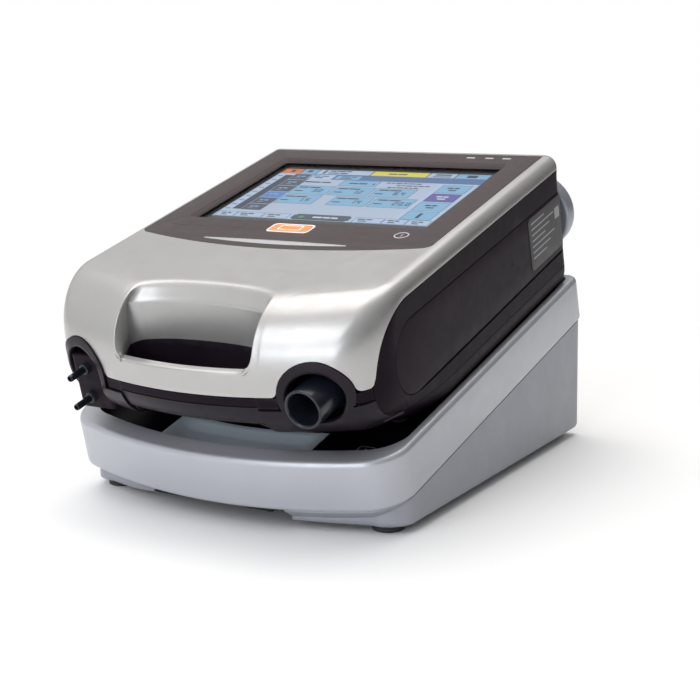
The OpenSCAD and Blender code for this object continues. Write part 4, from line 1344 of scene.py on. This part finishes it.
def plastic(name, color, rough=0.4, metallic=0.0, coat=0.0, coat_rough=0.12, grain=0.5, bump=0.25,
            mottle=0.06, flake=0.0, specular=0.5, painted_glow=0.0):
    """Moulded or painted surface: fine grain, slow colour drift, smudges and rubbed edges, with an
    optional painted glow in its own colour.
    """
    wear, smudge = 0.25, 0.05
    n = material(name)
    fine = n.noise(grain)
    slow = n.noise(34, 4.0)
    rubbed = n.noise(7, 5.0, 0.65)
    base = n.mix(n.ramp(slow, 0, 1, 0.3, 0.7), rgba(color, 1 - mottle), rgba(color, 1 + mottle))
    base = n.mix(n.ramp(fine, 0, mottle * 1.5, 0.35, 0.65), base, rgba(color, 1.35))
    if flake:
        cells = n.node("TexVoronoi", {"Vector": n.place, "Scale": 1 / (0.32 * MM)}).outputs["Color"]
        grey = n.node("RGBToBW", {"Color": cells}).outputs[0]
        base = n.mix(n.ramp(grey, -flake, flake), base, rgba(color, 1.25))
        base = n.mix(n.ramp(grey, 0, flake, 0.0, 0.5), base, rgba(color, 0.8))
    edge = n.ramp(n.node("NewGeometry").outputs["Pointiness"], 0, wear, 0.52, 0.60)
    worn = n.node("Math", {0: edge, 1: n.ramp(rubbed, 0.2, 1.0, 0.4, 0.6)}, operation="MULTIPLY")
    base = n.mix(worn.outputs[0], base, rgba([c * 1.15 + 0.06 for c in color[:3]]))
    spread = n.ramp(rubbed, rough - smudge, rough + smudge, 0.3, 0.7)
    spread = n.node("Math", {0: spread, 1: n.ramp(fine, -0.03, 0.03)}, operation="ADD").outputs[0]
    return n.done(n.node("BsdfPrincipled", {
        "Base Color": base, "Roughness": spread, "Metallic": metallic,
        "Normal": n.bump(fine, bump, 0.04), "Coat Weight": coat, "Coat Roughness": coat_rough,
        "Specular IOR Level": specular, "Emission Color": rgba(color), "Emission Strength": painted_glow}))


def brushed(name, color):
    """Bare metal with fine lengthwise lines."""
    rough = 0.3
    n = material(name)
    lines = n.noise(1.2, 4.0, 0.6, (1, 0.04, 1))
    base = n.mix(n.ramp(lines, 0, 0.5), rgba(color), rgba(color, 0.75))
    spread = n.ramp(n.noise(30), rough - 0.06, rough + 0.08, 0.3, 0.7)
    return n.done(n.node("BsdfPrincipled", {"Base Color": base, "Roughness": spread, "Metallic": 1.0,
                                            "Normal": n.bump(lines, 0.2, 0.03)}))


def felt(name, color):
    """Filter fleece."""
    n = material(name)
    fibre = n.noise(0.4, 6.0, 0.7, (1, 3, 1))
    base = n.mix(n.ramp(fibre, 0, 1, 0.3, 0.7), rgba(color, 0.85), rgba(color))
    return n.done(n.node("BsdfPrincipled", {"Base Color": base, "Roughness": 0.95,
                                            "Normal": n.bump(fibre, 0.8, 0.3), "Sheen Weight": 0.4}))


def touch_glass_look(name):
    """Clear front glass: lets the display through, reflects softly, with faint wiping marks."""
    n = material(name)
    spread = n.ramp(n.noise(9, 5.0, 0.6, (1, 0.35, 1)), 0.04, 0.12, 0.3, 0.7)
    gloss = n.node("BsdfGlossy", {"Roughness": spread, "Color": (1, 1, 1, 1),
                                  "Normal": n.bump(n.noise(0.6), 0.03, 0.02)})
    clear = n.node("BsdfTransparent", {"Color": (0.93, 0.95, 0.96, 1)})
    fresnel = n.node("Fresnel", {"IOR": 1.38})
    share = n.node("Math", {0: fresnel.outputs[0], 1: 0.10}, operation="MULTIPLY")
    return n.done(n.node("MixShader", {0: share.outputs[0], 1: clear.outputs[0],
                                       2: gloss.outputs[0]}))


def display_look(name):
    """Lit display: colours come from the tiles, broken by the fine grid of its pixels."""
    n = material(name)
    tint = n.node("Attribute", attribute_name="tint").outputs["Color"]
    pixel = n.node("TexWave", {"Vector": n.place, "Scale": 1 / (0.4 * MM), "Distortion": 0.0},
                   wave_type="BANDS", bands_direction="X").outputs["Fac"]
    lit = n.mix(n.ramp(pixel, 0.0, 0.06), tint, (0, 0, 0, 1))
    fade = n.ramp(n.noise(60), 0.96, 1.02, 0.3, 0.7)
    power = n.node("Math", {0: fade, 1: 0.72}, operation="MULTIPLY").outputs[0]
    return n.done(n.node("BsdfPrincipled", {
        "Base Color": n.mix(0.9, lit, (0, 0, 0, 1)), "Roughness": 0.5, "Emission Color": lit,
        "Emission Strength": power, "Normal": n.bump(n.noise(0.5), 0.05, 0.02)}))


def floor_look():
    """Pale matt floor that the camera sees fade to white away from the object."""
    n = material("floor")
    base = n.mix(n.ramp(n.noise(300), 0, 1, 0.3, 0.7), (0.93, 0.93, 0.93, 1), (0.95, 0.95, 0.95, 1))
    shader = n.node("BsdfPrincipled", {"Base Color": base, "Roughness": 0.6,
                                       "Specular IOR Level": 0.15})
    away = n.node("VectorMath", {0: n.place}, operation="LENGTH").outputs["Value"]
    fade = n.node("MapRange", {"Value": away, "From Min": 0.15, "From Max": 0.55},
                  interpolation_type="SMOOTHSTEP").outputs[0]
    camera = n.node("LightPath").outputs["Is Camera Ray"]
    share = n.node("Math", {0: fade, 1: camera}, operation="MULTIPLY").outputs[0]
    white = n.node("Emission", {"Color": (1, 1, 1, 1), "Strength": 1.0})
    return n.done(n.node("MixShader", {0: share, 1: shader.outputs[0], 2: white.outputs[0]}))


LOOKS = {                               # every look of the drawn pieces, by its use
    "silver": plastic("silver", (0.445, 0.437, 0.43), 0.36, 0.68, 0.25, 0.2, 0.35, 0.12, 0.03, 0.22),
    "base": plastic("base", (0.43, 0.44, 0.48), 0.38, 0.5, 0.2, 0.22, 0.35, 0.12, 0.03, 0.22),
    # dish: the tray's silver painted lighter and bluer, a painted highlight for the light falling into
    # the finger dish
    "dish": plastic("dish", (0.66, 0.74, 0.82), 0.42, 0.15, 0.1, 0.25, 0.35, 0.12, 0.03, 0.1),
    "wedge": plastic("wedge", (0.30, 0.31, 0.345), 0.45, 0.3, 0.0, 0.2, 0.5, 0.3, 0.05, 0.1),
    "bezel": plastic("bezel", (0.050, 0.036, 0.036), 0.42, 0, 0.0, 0.3, 0.45, 0.25, 0.06, specular=0.25),
    "case": plastic("case", (0.0085, 0.0045, 0.0085), 0.42, 0, 0, 0.2, 0.5, 0.4, 0.15, specular=0.06),
    "gloss_case": plastic("gloss_case", (0.0105, 0.0066, 0.0115), 0.34, 0, 0, 0.2, 0.6, 0.2, 0.15,
                          specular=0.20),
    "panel": plastic("panel", (0.0110, 0.0062, 0.0110), 0.40, 0, 0, 0.2, 0.4, 0.4, 0.12, specular=0.07),
    "port": plastic("port", (0.006, 0.008, 0.014), 0.22, 0, 0.1, 0.1, 0.8, 0.1, 0.15, specular=0.4),
    "label": plastic("label", (0.05, 0.048, 0.052), 0.5, 0.0, 0.0, 0.2, 0.6, 0.1, 0.08),
    "label_mark": plastic("label_mark", (0.30, 0.30, 0.31), 0.6, 0, 0, 0.2, 0.6, 0.1, 0.08),
    "glass": touch_glass_look("glass"),
    "black_print": plastic("black_print", (0.006, 0.006, 0.007), 0.3, 0, 0.5, 0.08, 1.0, 0.05),
    # orange and key_mark carry a painted glow: emission in their own colours, though the key is no lamp
    "orange": plastic("orange", (0.95, 0.20, 0.035), 0.35, 0, 0.4, 0.1, 0.8, 0.1, 0.05, painted_glow=0.35),
    "key_mark": plastic("key_mark", (0.9, 0.84, 0.8), 0.5, 0, 0, 0.2, 0.6, 0.1, 0.03, painted_glow=0.2),
    "white": plastic("white", (0.82, 0.81, 0.80), 0.4, 0, 0.2, 0.2, 0.6, 0.1, 0.03),
    "light_pipe": plastic("light_pipe", (0.42, 0.42, 0.43), 0.3, 0.1, 0.3, 0.15, 0.8, 0.1, 0.04),
    "lamp": plastic("lamp", (0.50, 0.49, 0.50), 0.4, 0, 0.0, 0.2, 0.8, 0.1, 0.03),
    "rubber": plastic("rubber", (0.018, 0.018, 0.019), 0.75, 0, 0, 0.2, 0.5, 0.7, 0.15),
    "deck": plastic("deck", (0.0025, 0.002, 0.003), 0.45, 0, 0, 0.2, 0.45, 0.5, 0.15, specular=0.06),
    "cover": plastic("cover", (0.30, 0.32, 0.36), 0.36, 0.4, 0.2, 0.2, 0.4, 0.12, 0.04, 0.15),
}


def look_for_slot(slot, kind, color):
    """Procedural finish for a CAD node, from the record's material slot."""
    linear = [c ** 2.2 for c in color[:3]]
    name = "cad_" + slot
    if kind in ("brushed_steel", "brass", "aluminium"):
        return brushed(name, linear)
    if kind == "fabric":
        return felt(name, linear)
    if kind == "rubber":
        return plastic(name, linear, 0.75, 0, 0, 0.2, 0.5, 0.7, 0.12)
    if kind == "gloss_plastic":
        return plastic(name, linear, 0.3, 0.1, 0.2, 0.2, 0.5, 0.35, 0.1)
    return plastic(name, linear, 0.45, 0, 0, 0.2, 0.5, 0.35, 0.1)


# ------------------------------------------------------------------ picture on the display

PALE = (0.55, 0.68, 0.88)
LIGHT_BLUE = (0.26, 0.54, 0.80)
MID_BLUE = (0.07, 0.17, 0.42)
SLATE = (0.045, 0.060, 0.105)
NAVY = (0.008, 0.010, 0.045)
WHITE = (0.80, 0.84, 0.92)
ORANGE = (0.90, 0.22, 0.02)
YELLOW = (0.95, 0.82, 0.05)
GREEN = (0.03, 0.22, 0.05)
PURPLE = (0.12, 0.08, 0.42)
INK = (0.01, 0.015, 0.04)
GREY = (0.20, 0.24, 0.34)

SEGMENTS = {                              # lit strokes of a seven-stroke numeral
    "0": "abcdef", "1": "bc", "2": "abged", "3": "abgcd", "4": "fgbc",
    "5": "afgcd", "6": "afgedc", "7": "abc", "8": "abcdefg", "9": "abcdfg",
}


class Picture:
    """Tiles in display units: x from 0 to 100 across, y from 0 to 60 down."""

    def __init__(self):
        self.tiles = []

    def tile(self, x, y, w, h, color, level=1):
        self.tiles.append((x, y, w, h, color, level))

    def rounded_tile(self, x, y, w, h, color, level=1):
        """A tile with clipped corners, in three strips."""
        c = min(w, h) * 0.18
        self.tile(x + c, y, w - 2 * c, c, color, level)
        self.tile(x, y + c, w, h - 2 * c, color, level)
        self.tile(x + c, y + h - c, w - 2 * c, c, color, level)

    def framed(self, x, y, w, h, color):
        """A tile with a thin dark outline."""
        self.tile(x, y, w, h, NAVY, 1.5)
        self.tile(x + 0.25, y + 0.25, w - 0.5, h - 0.5, color, 2)

    def mark(self, x, y, lengths, color=INK, h=0.55, level=3):
        """A row of short dashes standing for a caption."""
        for length in lengths:
            self.tile(x, y, length, h, color, level)
            x += length + 0.5

    def number(self, x, y, digits, h):
        w, t = h * 0.5, h * 0.15        # width of a numeral and of its strokes
        bars = {"a": (0, 0, w, t), "g": (0, (h - t) / 2, w, t), "d": (0, h - t, w, t),
                "f": (0, 0, t, h / 2), "e": (0, h / 2, t, h / 2),
                "b": (w - t, 0, t, h / 2), "c": (w - t, h / 2, t, h / 2)}
        for digit in digits:
            if digit == ".":
                self.tile(x - t, y + h - t, t, t, INK, 3)
                x += t
                continue
            for s in SEGMENTS[digit]:
                bx, by, bw, bh = bars[s]
                self.tile(x + bx, y + by, bw, bh, INK, 3)
            x += w * 1.45


def draw_picture():
    """A generic screen of tiles and plain numbers, with dashes in place of captions."""
    pic = Picture()
    pic.tile(0, 0, 100, 60, PALE, 0)
    pic.framed(0, 0, 10, 6, ORANGE)
    pic.tile(4.2, 1.8, 2.0, 2.6, INK, 3)
    pic.framed(10, 0, 8, 6, LIGHT_BLUE)
    pic.tile(12.6, 1.6, 2.6, 2.4, INK, 3)
    pic.framed(18, 0, 27, 6, PALE)
    pic.tile(21.0, 1.0, 1.2, 4.2, INK, 3)
    pic.mark(23.6, 1.2, [3.0, 4.2, 2.4], h=1.1)
    pic.mark(23.6, 3.6, [5.4, 4.0], h=1.1)
    pic.framed(45, 0, 27, 6, YELLOW)
    pic.mark(53, 2.4, [4.0, 4.5], h=1.2)
    pic.framed(72, 0, 13, 6, PALE)
    pic.tile(75.0, 1.2, 7.4, 1.8, GREEN, 3)
    pic.tile(74.6, 3.6, 8.4, 1.4, GREY, 3)
    pic.framed(85, 0, 15, 6, LIGHT_BLUE)
    pic.tile(90.0, 1.6, 4.6, 3.0, NAVY, 3)

    pic.tile(17, 6, 83, 6.4, MID_BLUE, 1)
    pic.tile(17, 6.6, 12.5, 6.0, PALE, 2)
    pic.mark(19.0, 8.0, [3.4, 3.6], h=1.0)
    pic.mark(20.4, 10.0, [4.2], h=1.0)
    pic.framed(30.5, 7.0, 12.5, 4.8, LIGHT_BLUE)
    pic.mark(33.0, 8.0, [4.2, 2.8], h=0.9)
    pic.mark(33.0, 9.8, [5.6], h=0.9)
    for k in range(9):
        pic.tile(1.0, 9 + 5.2 * k, 2.6, 1.0, GREY, 2)
    pic.tile(4.4, 8.4, 4.2, 43, NAVY, 2)
    for k in range(6):
        color = (0.08, 0.26, 0.68) if k == 3 else SLATE
        pic.tile(8.8, 6.6 + 7.6 * k, 9.8, 7.2, color, 2)
        pic.mark(11.0, 9.0 + 7.6 * k, [1.6, 2.2], LIGHT_BLUE, 1.1)
        pic.mark(11.0, 11.2 + 7.6 * k, [2.8], GREY, 0.9)

    pic.tile(18.6, 12.6, 63.4, 41.4, (0.56, 0.63, 0.80), 1)
    pic.mark(19.0, 15.4, [8.0, 4.4], h=1.4)
    pic.framed(37, 12.8, 18, 6.6, LIGHT_BLUE)
    pic.mark(41, 15.4, [4.2, 4.0], h=1.3)
    pic.tile(52.4, 15.4, 0.9, 1.6, INK, 3)
    for row in range(3):
        x = 58.0 + 3.0 * ((row * 2) % 3)
        pic.mark(x, 13.6 + 2.6 * row, [2.0, 1.4, 3.0, 1.8, 3.4 - row, 2.2], h=1.0)
    settings = [(19.0, 20.6, "30"), (38.4, 20.6, "12"), (57.8, 20.6, "6.4"), (19.0, 32.0, "1.5"),
                (44.0, 32.0, "14"), (63.4, 32.0, "20.0")]
    for x, y, value in settings:
        pic.framed(x, y, 18.4, 10.4, LIGHT_BLUE)
        pic.mark(x + 1.4, y + 1.6, [4.6, 5.2], h=1.2)
        pic.number(x + 10.0, y + 3.8, value, 3.6)
        pic.mark(x + 1.4, y + 6.0, [3.8], h=1.0)

    for k in range(4):
        color = PURPLE if k == 1 else LIGHT_BLUE
        pic.framed(84.5, 14.0 + 10.2 * k, 13.5, 9.4, color)
        if k == 3:
            pic.tile(90.4, 46.8, 1.5, 5.4, NAVY, 3)
        else:
            ink = WHITE if k == 1 else NAVY
            pic.mark(88.0, 16.8 + 10.2 * k, [2.6, 2.2], ink, 1.4)
            pic.mark(89.4, 19.4 + 10.2 * k, [3.6], ink, 1.2)
    pic.tile(0, 54, 100, 6, PALE, 1)
    for x, w in ((1, 9), (10.4, 13), (23.8, 12), (66, 13), (79.4, 10), (89.8, 9.8)):
        pic.framed(x, 54.2, w, 5.6, PALE)
        pic.mark(x + 1.6, 55.6, [w * 0.26, w * 0.2], h=1.1)
        pic.mark(x + 2.4, 57.6, [w * 0.3], h=0.9)
    pic.rounded_tile(37.4, 53.6, 27, 6.2, SLATE, 3)
    pic.tile(40.6, 55.6, 2.2, 2.2, (0.03, 0.40, 0.10), 4)
    pic.mark(47.0, 55.8, [4.4, 3.2, 3.0], WHITE, 1.5, 4)
    return pic.tiles


def make_picture():
    """The display panel: a slab whose upper face carries the tiles, each a hair proud."""
    across, down = LCD_W / 100, LCD_H / 60
    left, back = -LCD_W / 2, PICTURE_Y + LCD_H / 2
    shape = pad(box_outline(0, PICTURE_Y, LCD_W + 8, LCD_H + 10, 1.5, 3), 82.6, PICTURE_Z - 0.02, 0.1,
                rings=1)
    tints = [(0.01, 0.01, 0.012)] * len(shape.faces)
    for x, y, w, h, color, level in draw_picture():
        x0, y0 = left + x * across, back - y * down
        x1, y1 = x0 + w * across, y0 - h * down
        z = PICTURE_Z + 0.02 * level
        shape.cap([(x0, y1, z), (x1, y1, z), (x1, y0, z), (x0, y0, z)])
        tints.append(color)
    mesh = bpy.data.meshes.new("lcd_panel")
    mesh.from_pydata([tuple(p) for p in seated(shape.points)], [], shape.faces)
    mesh.update()
    layer = mesh.color_attributes.new("tint", "FLOAT_COLOR", "CORNER")
    for face, tint in zip(mesh.polygons, tints):
        for corner in face.loop_indices:
            layer.data[corner].color = (*tint, 1.0)
    mesh.materials.append(display_look("display"))
    obj = added("display_picture", mesh)
    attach(obj, "ventilator")
    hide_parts("lcd_panel")


# ------------------------------------------------------------------ the whole object

def dress_cad_nodes():
    """Gives every CAD node still shown a softened edge and its procedural finish."""
    kinds = {m["slot"]: m for m in record["materials"]}
    slot_of = {s["node"]: s["material_slot"] for s in record["subparts"]}
    made = {}
    for name, obj in frame["nodes"].items():
        if obj.hide_render:
            continue
        slot = slot_of[name]
        if slot not in made:
            made[slot] = look_for_slot(slot, kinds[slot]["class"], kinds[slot]["base_color"])
        obj.data.materials.clear()
        obj.data.materials.append(made[slot])
        soften(obj, 0.25, 35)


def studio_world():
    """White to the camera; for light, a soft dome that darkens towards the horizon and the right."""
    n = Nodes(bpy.data.worlds.new("studio"), "World")
    brightest = (-0.55, -0.25, 0.80)
    aim = n.node("VectorMath", {0: n.coords["Generated"], 1: brightest}, operation="DOT_PRODUCT")
    sky = n.node("Background", {"Strength": n.ramp(aim.outputs["Value"], 0.07, 1.05, -0.35, 0.85)})
    paper = n.node("Background", {"Color": (1, 1, 1, 1)})
    camera = n.node("LightPath").outputs["Is Camera Ray"]
    return n.done(n.node("MixShader", {0: camera, 1: sky.outputs[0], 2: paper.outputs[0]}))


def softbox(name, place, wide, high, power, tone):
    """A rectangular lamp aimed at the middle of the object."""
    data = bpy.data.lights.new(name, "AREA")
    data.shape = "RECTANGLE"
    data.size, data.size_y = wide, high
    data.energy = power
    data.color = tone
    lamp = added(name, data)
    lamp.location = place
    lamp.rotation_mode = "QUATERNION"
    lamp.rotation_quaternion = (Vector(place) - Vector((0, 0, 0.08))).to_track_quat("Z", "Y")


def make_stage():
    size = 6.0
    mesh = bpy.data.meshes.new("floor")
    mesh.from_pydata([(-size, -size, 0), (size, -size, 0), (size, size, 0), (-size, size, 0)], [],
                     [(0, 1, 2, 3)])
    mesh.materials.append(floor_look())
    added("floor", mesh)
    bpy.context.scene.world = studio_world()
    bpy.context.scene.view_settings.view_transform = "Standard"
    softbox("overhead", (-0.15, 0.25, 1.5), 1.6, 1.2, 15, (1, 0.965, 0.93))
    softbox("front", (-0.1, -1.5, 1.1), 0.9, 0.9, 9, (0.92, 0.96, 1))
    softbox("low_front", (0.2, -1.7, 0.32), 1.2, 0.35, 7, (0.88, 0.94, 1))


def make_camera():
    azimuth, elevation, roll = (math.radians(v) for v in (31.7, 10.5, -1.17))
    target, distance = Vector((0, 0.001, 0.096)), 0.918
    back = Vector((math.sin(azimuth) * math.cos(elevation), -math.cos(azimuth) * math.cos(elevation),
                   math.sin(elevation)))
    right = Vector((math.cos(azimuth), math.sin(azimuth), 0))
    up = back.cross(right)
    data = bpy.data.cameras.new("camera")
    data.sensor_width = 36
    data.lens = 76.78
    data.shift_x, data.shift_y = 0.0365, -0.0489
    camera = added("camera", data)
    turn = Matrix((right * math.cos(roll) + up * math.sin(roll),
                   up * math.cos(roll) - right * math.sin(roll), back)).transposed()
    camera.matrix_world = Matrix.Translation(target + back * distance) @ turn.to_4x4()
    bpy.context.scene.camera = camera


for make in (make_top_shell, make_bezel, make_touch_glass, make_alarm_key, make_lamps, make_picture,
             make_middle_case, make_side_panels, make_lower_case, make_port_surround,
             make_adapter_surround, make_handle_grip, make_patient_port, make_adapter, make_base,
             make_filter_cover, dress_cad_nodes, make_stage, make_camera):
    make()
